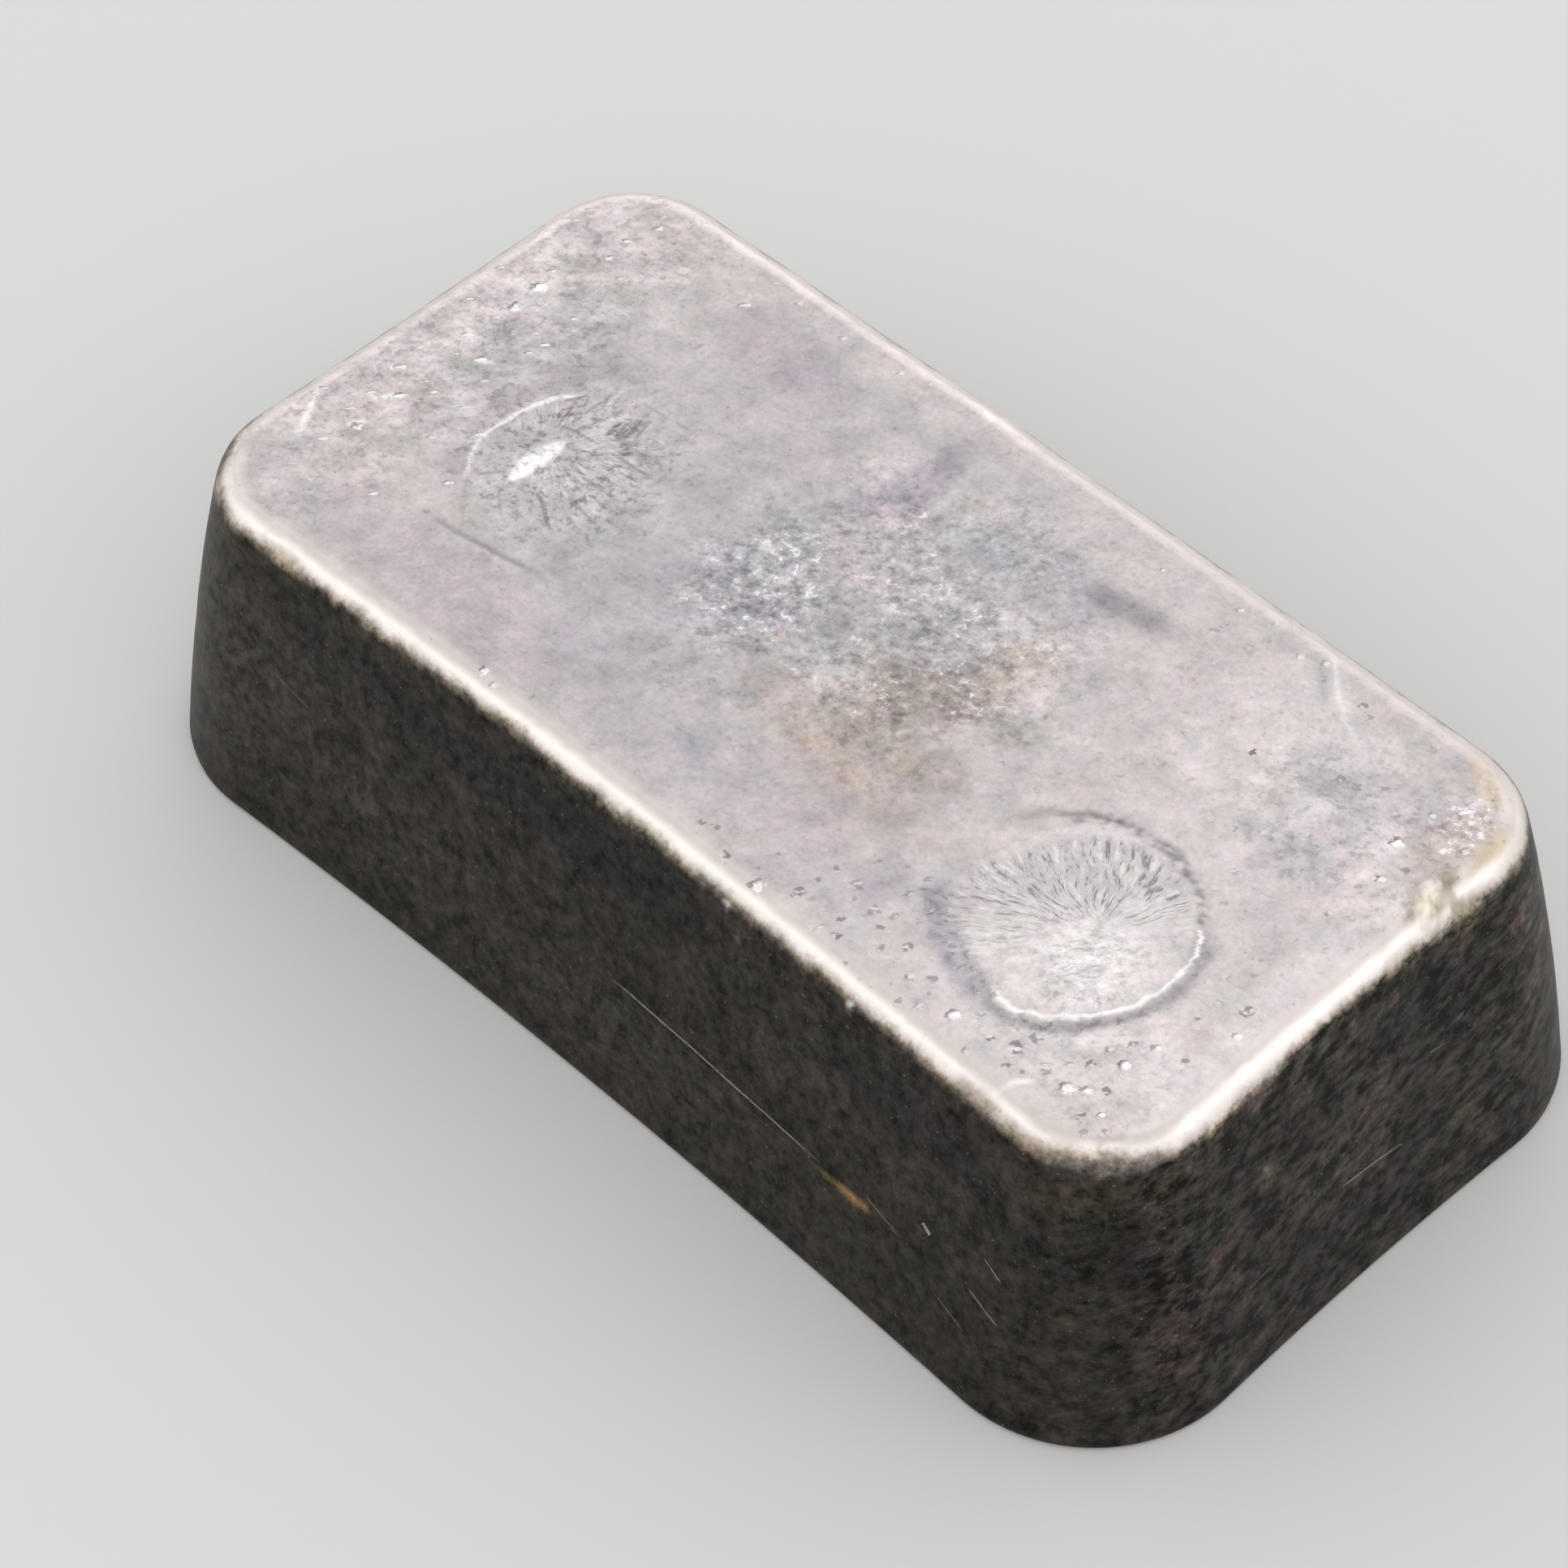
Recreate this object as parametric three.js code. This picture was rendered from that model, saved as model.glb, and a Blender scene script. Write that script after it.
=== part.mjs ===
// A cast metal ingot of about one kilogram, made as one closed solid.
// It lies on its wide side. The walls lean in towards the narrow face on top, the sides are
// drawn in a little between rounded corners, and the face carries two round pour marks.
// Millimetres, +Z up, +X along the length. The origin is the middle of the flat base.

import * as THREE from "three";

// Overall sizes.
const BASE_LENGTH = 91;
const BASE_WIDTH = 49.9;
const HEIGHT = 24.5;

// How far the walls lean in from upright, in degrees, and how far they swell at mid height.
const END_DRAFT = 9.2;
const SIDE_DRAFT = 10.2;
const WALL_SWELL = 0.3;

// Upright corners in plan, at the base and at the face, and the rounded edges around both.
const BASE_CORNER_RADIUS = 11;
const FACE_CORNER_RADIUS = 7.3;
const BASE_EDGE_RADIUS = 0.5;
const FACE_EDGE_RADIUS = 2;

// How far each side is drawn in between its corners, at the base and at the face.
// A negative waist stands out instead.
const FAR_WAIST_AT_BASE = 0.6;
const FAR_WAIST_AT_FACE = -0.2;
const LEFT_WAIST_AT_BASE = 0.8;
const LEFT_WAIST_AT_FACE = 0.1;
const NEAR_WAIST_AT_BASE = 0.8;
const NEAR_WAIST_AT_FACE = 0.75;
const RIGHT_WAIST_AT_BASE = 0.3;
const RIGHT_WAIST_AT_FACE = 0.25;

// The face sinks towards its middle, where the metal cooled last.
const FACE_SINK = 0.2;

// The right pour mark is a low round pad. Its place is measured to its middle, from the top
// of the right and near walls, and its lip is highest on the side that it turns to, in degrees.
// A shallow groove runs around outside the lip.
const PAD_FROM_RIGHT = 14.8;
const PAD_FROM_NEAR = 13.3;
const PAD_RADIUS = 7.7;
const PAD_RISE = 0.18;
const PAD_LIP_HEIGHT = 0.24;
const PAD_LIP_WIDTH = 0.6;
const PAD_LIP_TURN = -40;
const PAD_GROOVE_DEPTH = 0.1;

// The left pour mark is a shallow round dish, with a lip and a groove of the same kind.
const DISH_FROM_LEFT = 20;
const DISH_FROM_NEAR = 17.4;
const DISH_RADIUS = 7.4;
const DISH_DEPTH = 0.2;
const DISH_LIP_HEIGHT = 0.24;
const DISH_LIP_WIDTH = 0.6;
const DISH_LIP_TURN = 170;
const DISH_GROOVE_DEPTH = 0.06;

// Where the middle of a mark's groove lies outside its lip, and how far inside and outside the
// lip the mesh is fine, all in widths of the lip.
const GROOVE_PLACE = 1.2;
const FINE_INSIDE = 1.5;
const FINE_OUTSIDE = 2.5;

// How many steps each stretch of the mesh takes.
const CORNER_STEPS = 8;
const LONG_SIDE_STEPS = 36;
const END_STEPS = 16;
const BASE_EDGE_STEPS = 3;
const WALL_STEPS = 8;
const FACE_EDGE_STEPS = 6;
const RIDGE_STEPS = 18;
const MARK_STEPS = 4;
const LIP_STEPS = 10;
const FACE_STEPS = 6;

const { degToRad, lerp, smoothstep } = THREE.MathUtils;

// ---- The plan outline ----

// Corners run counterclockwise from the far right one, and each is followed by a side:
// far, left, near, right. A corner arc turns a little past a right angle at each end, so that
// it meets the drawn-in sides smoothly.
function outline(halfLength, halfWidth, radius, waists) {
  const x = halfLength - radius;
  const y = halfWidth - radius;
  const centres = [[x, y], [-x, y], [-x, -y], [x, -y]];
  const leans = waists.map((waist, side) => Math.atan((2 * waist) / (side % 2 ? y : x)));

  const arcs = centres.map(([centreX, centreY], corner) => {
    const start = (corner * Math.PI) / 2 - leans[(corner + 3) % 4];
    const end = ((corner + 1) * Math.PI) / 2 + leans[corner];
    return Array.from({ length: CORNER_STEPS + 1 }, (_, step) => {
      const angle = lerp(start, end, step / CORNER_STEPS);
      return new THREE.Vector2(
        centreX + radius * Math.cos(angle),
        centreY + radius * Math.sin(angle),
      );
    });
  });

  return arcs.flatMap((arc, side) => {
    const from = arc[CORNER_STEPS];
    const to = arcs[(side + 1) % 4][0];
    const outward = ((side + 1) * Math.PI) / 2;
    const steps = side % 2 ? END_STEPS : LONG_SIDE_STEPS;
    const points = [...arc];
    for (let step = 1; step < steps; step++) {
      const along = step / steps;
      const inset = waists[side] * 4 * along * (1 - along);
      const point = from.clone().lerp(to, along);
      point.x -= inset * Math.cos(outward);
      point.y -= inset * Math.sin(outward);
      points.push(point);
    }
    return points;
  });
}

// The ring of wall points at one height, moved inwards by an inset where an edge is rounded.
function section(height, inset) {
  const rise = height / HEIGHT;
  const spread = WALL_SWELL * 4 * rise * (1 - rise) - inset;
  const points = outline(
    BASE_LENGTH / 2 - height * Math.tan(degToRad(END_DRAFT)) + spread,
    BASE_WIDTH / 2 - height * Math.tan(degToRad(SIDE_DRAFT)) + spread,
    lerp(BASE_CORNER_RADIUS, FACE_CORNER_RADIUS, rise) - inset,
    [
      lerp(FAR_WAIST_AT_BASE, FAR_WAIST_AT_FACE, rise),
      lerp(LEFT_WAIST_AT_BASE, LEFT_WAIST_AT_FACE, rise),
      lerp(NEAR_WAIST_AT_BASE, NEAR_WAIST_AT_FACE, rise),
      lerp(RIGHT_WAIST_AT_BASE, RIGHT_WAIST_AT_FACE, rise),
    ],
  );
  return points.map((point) => new THREE.Vector3(point.x, point.y, height));
}

// ---- The face ----

const faceHalfLength = BASE_LENGTH / 2 - HEIGHT * Math.tan(degToRad(END_DRAFT));
const faceHalfWidth = BASE_WIDTH / 2 - HEIGHT * Math.tan(degToRad(SIDE_DRAFT));

const pad = {
  x: faceHalfLength - PAD_FROM_RIGHT,
  y: PAD_FROM_NEAR - faceHalfWidth,
  radius: PAD_RADIUS,
  rise: PAD_RISE,
  lipHeight: PAD_LIP_HEIGHT,
  lipWidth: PAD_LIP_WIDTH,
  lipTurn: degToRad(PAD_LIP_TURN),
  grooveDepth: PAD_GROOVE_DEPTH,
};

const dish = {
  x: DISH_FROM_LEFT - faceHalfLength,
  y: DISH_FROM_NEAR - faceHalfWidth,
  radius: DISH_RADIUS,
  rise: -DISH_DEPTH,
  lipHeight: DISH_LIP_HEIGHT,
  lipWidth: DISH_LIP_WIDTH,
  lipTurn: degToRad(DISH_LIP_TURN),
  grooveDepth: DISH_GROOVE_DEPTH,
};

// A mark steps up or down across its rim. Its lip, and the groove outside the lip, fade out on
// the side turned away.
function markRelief(mark, x, y) {
  const fromRim = (Math.hypot(x - mark.x, y - mark.y) - mark.radius) / mark.lipWidth;
  const angle = Math.atan2(y - mark.y, x - mark.x);
  const facing = (1 + Math.cos(angle - mark.lipTurn)) / 2;
  const crest = Math.exp(-2 * fromRim ** 2);
  const trough = Math.exp(-2 * (fromRim - GROOVE_PLACE) ** 2);
  const inside = 1 - smoothstep(fromRim, -1, 1);
  return mark.rise * inside + (mark.lipHeight * crest - mark.grooveDepth * trough) * facing ** 2;
}

function facePoint(x, y) {
  const fromEnds = Math.max(0, 1 - (x / (faceHalfLength - FACE_EDGE_RADIUS)) ** 2);
  const fromSides = Math.max(0, 1 - (y / (faceHalfWidth - FACE_EDGE_RADIUS)) ** 2);
  const sink = FACE_SINK * fromEnds * fromSides;
  return new THREE.Vector3(
    x,
    y,
    HEIGHT - sink + markRelief(pad, x, y) + markRelief(dish, x, y),
  );
}

// ---- The closed mesh ----

const vertices = [];
const triangles = [];

function addVertex(point) {
  vertices.push(point);
  return vertices.length - 1;
}

// Joins two rings of equal length. The inner ring lies above the outer one or inside it.
function joinRings(outer, inner) {
  outer.forEach((corner, i) => {
    const next = (i + 1) % outer.length;
    triangles.push([corner, outer[next], inner[next]]);
    triangles.push([corner, inner[next], inner[i]]);
  });
}

// The heights and insets of the wall's rings, from the flat base up to the rim of the face.
function wallProfile() {
  const profile = [];
  for (let step = 0; step < BASE_EDGE_STEPS; step++) {
    const angle = (step / BASE_EDGE_STEPS) * (Math.PI / 2);
    profile.push([
      BASE_EDGE_RADIUS * (1 - Math.cos(angle)),
      BASE_EDGE_RADIUS * (1 - Math.sin(angle)),
    ]);
  }
  for (let step = 0; step < WALL_STEPS; step++) {
    profile.push([lerp(BASE_EDGE_RADIUS, HEIGHT - FACE_EDGE_RADIUS, step / WALL_STEPS), 0]);
  }
  for (let step = 0; step <= FACE_EDGE_STEPS; step++) {
    const angle = (step / FACE_EDGE_STEPS) * (Math.PI / 2);
    profile.push([
      HEIGHT - FACE_EDGE_RADIUS * (1 - Math.sin(angle)),
      FACE_EDGE_RADIUS * (1 - Math.cos(angle)),
    ]);
  }
  return profile;
}

function closeBase(ring) {
  const contour = ring.map((index) => new THREE.Vector2(vertices[index].x, vertices[index].y));
  for (const [a, b, c] of THREE.ShapeUtils.triangulateShape(contour, [])) {
    triangles.push([ring[a], ring[c], ring[b]]);
  }
}

// Covers one half of the face with rings that spread from a mark to the edge of that half:
// even steps inside the mark, fine steps across its lip, then steps that widen to the border.
function spreadFromMark(mark, border) {
  const radii = [];
  const lipStart = mark.radius - FINE_INSIDE * mark.lipWidth;
  const lipSpan = (FINE_INSIDE + FINE_OUTSIDE) * mark.lipWidth;
  for (let step = 1; step <= MARK_STEPS; step++) {
    radii.push((lipStart * step) / MARK_STEPS);
  }
  for (let step = 1; step <= LIP_STEPS; step++) {
    radii.push(lipStart + (lipSpan * step) / LIP_STEPS);
  }

  const middle = new THREE.Vector2(mark.x, mark.y);
  const edge = border.map((index) => new THREE.Vector2(vertices[index].x, vertices[index].y));
  const around = (radius) => edge.map((point) => (
    point.clone().sub(middle).setLength(radius).add(middle)
  ));
  const lipEnd = around(radii.at(-1));
  const plans = radii.map(around);
  for (let step = 1; step < FACE_STEPS; step++) {
    const share = (step / FACE_STEPS) ** 1.3;
    plans.push(lipEnd.map((point, i) => point.clone().lerp(edge[i], share)));
  }

  const rings = plans.map((plan) => plan.map((point) => addVertex(facePoint(point.x, point.y))));
  rings.push(border);
  const hub = addVertex(facePoint(mark.x, mark.y));
  rings[0].forEach((corner, i) => {
    triangles.push([hub, corner, rings[0][(i + 1) % border.length]]);
  });
  for (let i = 1; i < rings.length; i++) {
    joinRings(rings[i], rings[i - 1]);
  }
}

const wallRings = wallProfile().map(([height, inset]) => section(height, inset).map(addVertex));
closeBase(wallRings[0]);
for (let i = 1; i < wallRings.length; i++) {
  joinRings(wallRings[i - 1], wallRings[i]);
}

// A line across the middle of the face parts it into a half for each mark.
const rim = wallRings.at(-1);
const farMiddle = CORNER_STEPS + LONG_SIDE_STEPS / 2;
const nearMiddle = farMiddle + rim.length / 2;
const ridge = [];
for (let step = 1; step < RIDGE_STEPS; step++) {
  const point = vertices[rim[farMiddle]].clone().lerp(vertices[rim[nearMiddle]], step / RIDGE_STEPS);
  ridge.push(addVertex(facePoint(point.x, point.y)));
}
spreadFromMark(dish, [...rim.slice(farMiddle, nearMiddle + 1), ...ridge.toReversed()]);
spreadFromMark(pad, [...rim.slice(nearMiddle), ...rim.slice(0, farMiddle + 1), ...ridge]);

const geometry = new THREE.BufferGeometry();
geometry.setAttribute(
  "position",
  new THREE.Float32BufferAttribute(vertices.flatMap((vertex) => vertex.toArray()), 3),
);
geometry.setIndex(triangles.flat());
geometry.computeVertexNormals();

const castMetal = new THREE.MeshStandardMaterial({
  color: 0xc9c3c1,
  roughness: 0.38,
  metalness: 1,
});

const ingot = new THREE.Mesh(geometry, castMetal);
ingot.name = "ingot";

const group = new THREE.Group();
group.add(ingot);

export default group;
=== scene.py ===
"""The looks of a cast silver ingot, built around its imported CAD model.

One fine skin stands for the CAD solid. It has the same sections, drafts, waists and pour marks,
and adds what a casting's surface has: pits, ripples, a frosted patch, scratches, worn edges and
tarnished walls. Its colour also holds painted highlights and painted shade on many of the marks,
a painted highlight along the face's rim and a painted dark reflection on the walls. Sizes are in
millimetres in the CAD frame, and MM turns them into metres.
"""

import itertools
import math

import bpy
import numpy as np
from mathutils import Matrix, Vector


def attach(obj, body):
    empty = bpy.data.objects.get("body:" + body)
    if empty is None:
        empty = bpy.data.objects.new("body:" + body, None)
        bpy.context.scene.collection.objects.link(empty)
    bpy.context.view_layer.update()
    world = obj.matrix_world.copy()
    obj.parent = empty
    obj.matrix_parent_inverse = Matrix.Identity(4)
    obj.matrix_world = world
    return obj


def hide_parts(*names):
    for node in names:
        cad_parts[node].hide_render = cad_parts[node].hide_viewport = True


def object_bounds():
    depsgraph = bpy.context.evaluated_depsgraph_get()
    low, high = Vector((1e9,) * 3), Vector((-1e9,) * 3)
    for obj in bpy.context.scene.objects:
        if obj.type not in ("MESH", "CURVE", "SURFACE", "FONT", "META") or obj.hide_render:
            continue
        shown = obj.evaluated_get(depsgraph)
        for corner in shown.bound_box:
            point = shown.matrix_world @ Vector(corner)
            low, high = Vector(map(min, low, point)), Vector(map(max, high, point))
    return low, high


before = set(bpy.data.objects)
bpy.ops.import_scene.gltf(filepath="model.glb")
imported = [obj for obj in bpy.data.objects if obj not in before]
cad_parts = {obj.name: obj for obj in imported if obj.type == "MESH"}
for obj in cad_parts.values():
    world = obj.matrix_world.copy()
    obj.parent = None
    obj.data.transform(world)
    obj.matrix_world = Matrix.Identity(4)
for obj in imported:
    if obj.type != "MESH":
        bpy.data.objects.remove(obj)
CAD_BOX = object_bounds()

MM = 0.001
NODE = "ingot"
SLOT = "cast_silver"

# ---- Sizes of the block, as the CAD model has them ----

BASE_LENGTH = 91.0
BASE_WIDTH = 49.9
HEIGHT = 24.5
END_DRAFT = math.radians(9.2)
SIDE_DRAFT = math.radians(10.2)
WALL_SWELL = 0.3
BASE_CORNER_RADIUS = 11.0
FACE_CORNER_RADIUS = 7.3
BASE_EDGE_RADIUS = 0.5
FACE_EDGE_RADIUS = 2.0
# Sides in turn: far, left, near, right.
WAISTS_AT_BASE = (0.6, 0.8, 0.8, 0.3)
WAISTS_AT_FACE = (-0.2, 0.1, 0.75, 0.25)
FACE_SINK = 0.2

FACE_HALF_LENGTH = BASE_LENGTH / 2 - HEIGHT * math.tan(END_DRAFT)
FACE_HALF_WIDTH = BASE_WIDTH / 2 - HEIGHT * math.tan(SIDE_DRAFT)

# ---- Mesh steps ----

FACE_CELLS_X = 352
FACE_CELLS_Y = 176
CORNER_CELLS = 26
FACE_EDGE_RINGS = 8
WALL_RINGS = 42
BASE_EDGE_RINGS = 3
UNDERSIDE_RINGS = (0.2, 0.5, 0.75, 0.9, 0.98)
# The face's cells are finer across the pour marks.
FINE_SPANS_X = ((-30.5, -19.0), (18.5, 35.0))
FINE_SPANS_Y = ((-16.0, 2.5),)
FINENESS_X = 1.0
FINENESS_Y = 0.8
SPAN_BLEND = 2.0


def smooth(low, high, value):
    """0 below low, 1 above high, and an easy curve between."""
    along = np.clip((value - low) / (high - low), 0, 1)
    return along * along * (3 - 2 * along)


def direction(angle):
    return np.array([math.cos(angle), math.sin(angle)])


# ---- Noise ----


def hashed(cells, seed):
    """A scrambled 32-bit number for each whole-numbered cell."""
    x, y, z = (cells[:, axis].astype(np.uint32) for axis in range(3))
    code = x * np.uint32(374761393) + y * np.uint32(668265263) + z * np.uint32(2246822519)
    code += np.uint32(seed * 97531 + 1)
    code ^= code >> np.uint32(13)
    code *= np.uint32(1274126177)
    code ^= code >> np.uint32(16)
    code *= np.uint32(2654435761)
    code ^= code >> np.uint32(15)
    return code


def noise(points, size, seed):
    """Smooth gradient noise with features of about the given size, from about -1 to 1."""
    scaled = points / size
    cells = np.floor(scaled).astype(np.int64)
    inside = scaled - cells
    ease = inside ** 3 * (inside * (inside * 6 - 15) + 10)
    total = np.zeros(len(points))
    for corner in itertools.product((0, 1), repeat=3):
        code = hashed(cells + corner, seed)
        offset = inside - corner
        weight = np.ones(len(points))
        slope = np.zeros(len(points))
        for axis in range(3):
            part = ((code >> np.uint32(10 * axis)) & np.uint32(1023)).astype(float) / 511.5 - 1
            slope += part * offset[:, axis]
            weight *= ease[:, axis] if corner[axis] else 1 - ease[:, axis]
        total += weight * slope
    return total * 1.6


def fractal(points, size, octaves, seed):
    """Noise at several sizes, each half of the one before."""
    total = np.zeros(len(points))
    strength = 0.0
    for octave in range(octaves):
        share = 0.6 ** octave
        total += share * noise(points, size / 2 ** octave, seed + 11 * octave)
        strength += share * share
    return total / math.sqrt(strength)


# ---- The skin's shape before its surface is roughened ----


def spread_steps(cells, half_run, spans, fineness):
    """Places from 0 to 1 along a side's straight stretch, closer together within the spans."""
    line = np.linspace(-half_run, half_run, 2001)
    density = np.ones_like(line)
    for low, high in spans:
        entering = smooth(low - SPAN_BLEND, low + SPAN_BLEND, line)
        leaving = smooth(high - SPAN_BLEND, high + SPAN_BLEND, line)
        density += fineness * entering * (1 - leaving)
    travelled = np.concatenate([[0], np.cumsum((density[1:] + density[:-1]) / 2)])
    places = np.interp(np.linspace(0, travelled[-1], cells + 1), travelled, line)
    return (places / half_run + 1) / 2


def ring_places():
    """For each point of a full ring: its side, its stretch (0 first corner, 1 side, 2 second
    corner) and how far along that stretch it is. A ring starts at the middle of the far right
    corner and runs counterclockwise."""
    half_run_x = FACE_HALF_LENGTH - FACE_CORNER_RADIUS
    half_run_y = FACE_HALF_WIDTH - FACE_CORNER_RADIUS
    along_x = spread_steps(FACE_CELLS_X - 2 * CORNER_CELLS, half_run_x, FINE_SPANS_X, FINENESS_X)
    along_y = spread_steps(FACE_CELLS_Y - 2 * CORNER_CELLS, half_run_y, FINE_SPANS_Y, FINENESS_Y)
    corner = np.arange(CORNER_CELLS) / CORNER_CELLS
    sides = []
    for index, straight in enumerate((1 - along_x[::-1], 1 - along_y[::-1], along_x, along_y)):
        for stretch, along in enumerate((corner, straight[:-1], corner)):
            count = len(along)
            sides.append(np.stack([np.full(count, index), np.full(count, stretch), along]))
    return np.concatenate(sides, axis=1)


RING_SIDE, RING_STRETCH, RING_ALONG = ring_places()


def section(height, inset):
    """The ring of wall points at one height, moved inwards where an edge is rounded."""
    rise = height / HEIGHT
    spread = WALL_SWELL * 4 * rise * (1 - rise) - inset
    half_length = BASE_LENGTH / 2 - height * math.tan(END_DRAFT) + spread
    half_width = BASE_WIDTH / 2 - height * math.tan(SIDE_DRAFT) + spread
    radius = BASE_CORNER_RADIUS + (FACE_CORNER_RADIUS - BASE_CORNER_RADIUS) * rise - inset
    x, y = half_length - radius, half_width - radius
    centres = ((x, y), (-x, y), (-x, -y), (x, -y))
    waists = [low + (high - low) * rise for low, high in zip(WAISTS_AT_BASE, WAISTS_AT_FACE)]
    leans = [math.atan(2 * waist / (y if side % 2 else x)) for side, waist in enumerate(waists)]

    points = np.empty((len(RING_SIDE), 3))
    points[:, 2] = height
    for side in range(4):
        middle = math.pi / 4 + side * math.pi / 2
        outward = (side + 1) * math.pi / 2
        following = (side + 1) % 4
        first_end = outward + leans[side]
        second_start = outward - leans[side]
        here = RING_SIDE == side

        straight = here & (RING_STRETCH == 1)
        along = RING_ALONG[straight][:, None]
        start = centres[side] + radius * direction(first_end)
        end = centres[following] + radius * direction(second_start)
        drawn_in = waists[side] * 4 * along * (1 - along)
        points[straight, :2] = start + (end - start) * along - drawn_in * direction(outward)

        for stretch, centre, low, high in (
            (0, centres[side], middle, first_end),
            (2, centres[following], second_start, middle + math.pi / 2),
        ):
            corner = here & (RING_STRETCH == stretch)
            angles = low + (high - low) * RING_ALONG[corner]
            points[corner, 0] = centre[0] + radius * np.cos(angles)
            points[corner, 1] = centre[1] + radius * np.sin(angles)
    return points


def edge_profile(radius, rings, foot, sense):
    """Heights and insets of a rounded edge. Sense is 1 at the face and -1 at the base."""
    return [
        (foot + sense * radius * math.sin(angle), radius * (1 - math.cos(angle)))
        for angle in np.linspace(0, math.pi / 2, rings + 1)
    ]


def shares_of(line, axis):
    """How far along a line each of its points is, from 0 to 1, by one coordinate."""
    return (line[:, axis] - line[0, axis]) / (line[-1, axis] - line[0, axis])


def sides_of(ring):
    """A full ring's far, left, near and right sides with both their ends, towards +X or +Y."""
    corners = np.cumsum((FACE_CELLS_X, FACE_CELLS_Y, FACE_CELLS_X))
    loop = np.concatenate([ring, ring[:1]])
    far = loop[: corners[0] + 1][::-1]
    left = loop[corners[0] : corners[1] + 1][::-1]
    near = loop[corners[1] : corners[2] + 1]
    right = loop[corners[2] :]
    return far, left, near, right


def face_grid(ring):
    """Fills the face's rim with a grid of cells, bent to follow its four sides."""
    far, left, near, right = sides_of(ring)
    u = ((shares_of(near, 0) + shares_of(far, 0)) / 2)[None, :, None]
    v = ((shares_of(left, 1) + shares_of(right, 1)) / 2)[:, None, None]
    grid = (1 - v) * near[None] + v * far[None] + (1 - u) * left[:, None] + u * right[:, None]
    grid -= (1 - u) * (1 - v) * near[0] + u * (1 - v) * near[-1]
    grid -= (1 - u) * v * far[0] + u * v * far[-1]
    return grid


class Skin:
    """Vertices in millimetres and faces, gathered ring by ring."""

    def __init__(self):
        self.rings = []
        self.faces = []
        self.count = 0

    def add(self, points):
        start = self.count
        self.rings.append(points)
        self.count += len(points)
        return np.arange(start, self.count)

    def join(self, inner, outer):
        """A band of quads between two rings of the same length."""
        after_inner, after_outer = np.roll(inner, -1), np.roll(outer, -1)
        self.faces.extend(np.stack([inner, after_inner, after_outer, outer], axis=1).tolist())

    def join_finer(self, coarse, fine):
        """A band of triangles from a ring to one above it with twice the points."""
        after = np.roll(coarse, -1)
        even, odd = fine[0::2], fine[1::2]
        beyond = np.roll(even, -1)
        for corners in ((coarse, after, odd), (coarse, odd, even), (after, beyond, odd)):
            self.faces.extend(np.stack(corners, axis=1).tolist())


def build_skin():
    skin = Skin()

    base_edge = edge_profile(BASE_EDGE_RADIUS, BASE_EDGE_RINGS, BASE_EDGE_RADIUS, -1)[::-1]
    wall_top = HEIGHT - FACE_EDGE_RADIUS
    wall_heights = np.linspace(BASE_EDGE_RADIUS, wall_top, WALL_RINGS + 1)[1:-1]
    face_edge = edge_profile(FACE_EDGE_RADIUS, FACE_EDGE_RINGS, wall_top, 1)

    foot = section(*base_edge[0])[0::2]
    coarse = [skin.add(foot * share) for share in UNDERSIDE_RINGS]
    coarse += [skin.add(section(*place)[0::2]) for place in base_edge]
    coarse += [skin.add(section(height, 0)[0::2]) for height in wall_heights]
    fine = [skin.add(section(*place)) for place in face_edge]
    skin.faces.append(coarse[0][::-1].tolist())
    for inner, outer in itertools.pairwise(coarse):
        skin.join(inner, outer)
    skin.join_finer(coarse[-1], fine[0])
    for inner, outer in itertools.pairwise(fine):
        skin.join(inner, outer)

    grid = face_grid(skin.rings[-1])
    rows, columns = grid.shape[:2]
    index = np.empty((rows, columns), dtype=int)
    index[-1], index[:, 0], index[0], index[:, -1] = sides_of(fine[-1])
    inner = skin.add(grid[1:-1, 1:-1].reshape(-1, 3))
    index[1:-1, 1:-1] = inner.reshape(rows - 2, columns - 2)
    cells = np.stack([index[:-1, :-1], index[:-1, 1:], index[1:, 1:], index[1:, :-1]], axis=-1)
    skin.faces.extend(cells.reshape(-1, 4).tolist())
    return np.vstack(skin.rings), skin.faces


def normals_of(points, faces):
    """Unit normals of the vertices, by area. The underside's one large face gives none."""
    total = np.zeros_like(points)
    for size in (3, 4):
        corners = np.array([face for face in faces if len(face) == size])
        across = points[corners[:, 2]] - points[corners[:, 0]]
        other = points[corners[:, size - 1]] - points[corners[:, 1]]
        normal = np.cross(across, other)
        for column in range(size):
            np.add.at(total, corners[:, column], normal)
    return total / np.linalg.norm(total, axis=1, keepdims=True)


# ---- Colours ----


def srgb(red, green, blue):
    """A colour as a screen shows it, turned into linear light."""
    values = np.array([red, green, blue]) / 255
    return ((values + 0.055) / 1.055) ** 2.4


SILVER = srgb(201, 192, 192)
PALE = srgb(222, 213, 213)
COOL_GREY = srgb(178, 175, 179)
PINK_GREY = srgb(190, 180, 184)
MAUVE = srgb(166, 155, 168)
BLUE_GREY = srgb(158, 159, 167)
BROWN = srgb(158, 148, 142)
TAN = srgb(190, 172, 160)
GOLD = srgb(212, 196, 168)
WORN = srgb(243, 235, 230)
# The rim's tone is worn metal with a painted highlight.
RIM_WEAR_AND_HIGHLIGHT = srgb(236, 226, 223)
SPARKLE = srgb(252, 249, 248)
# These two are dark marks, and also painted shade in grooves, moats and pits.
GROOVE_DARK_AND_SHADE = srgb(130, 127, 136)
PIT_DARK_AND_SHADE = srgb(104, 100, 110)
EDGE_BROWN = srgb(160, 146, 130)
EDGE_GREY = srgb(128, 119, 112)
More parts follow.
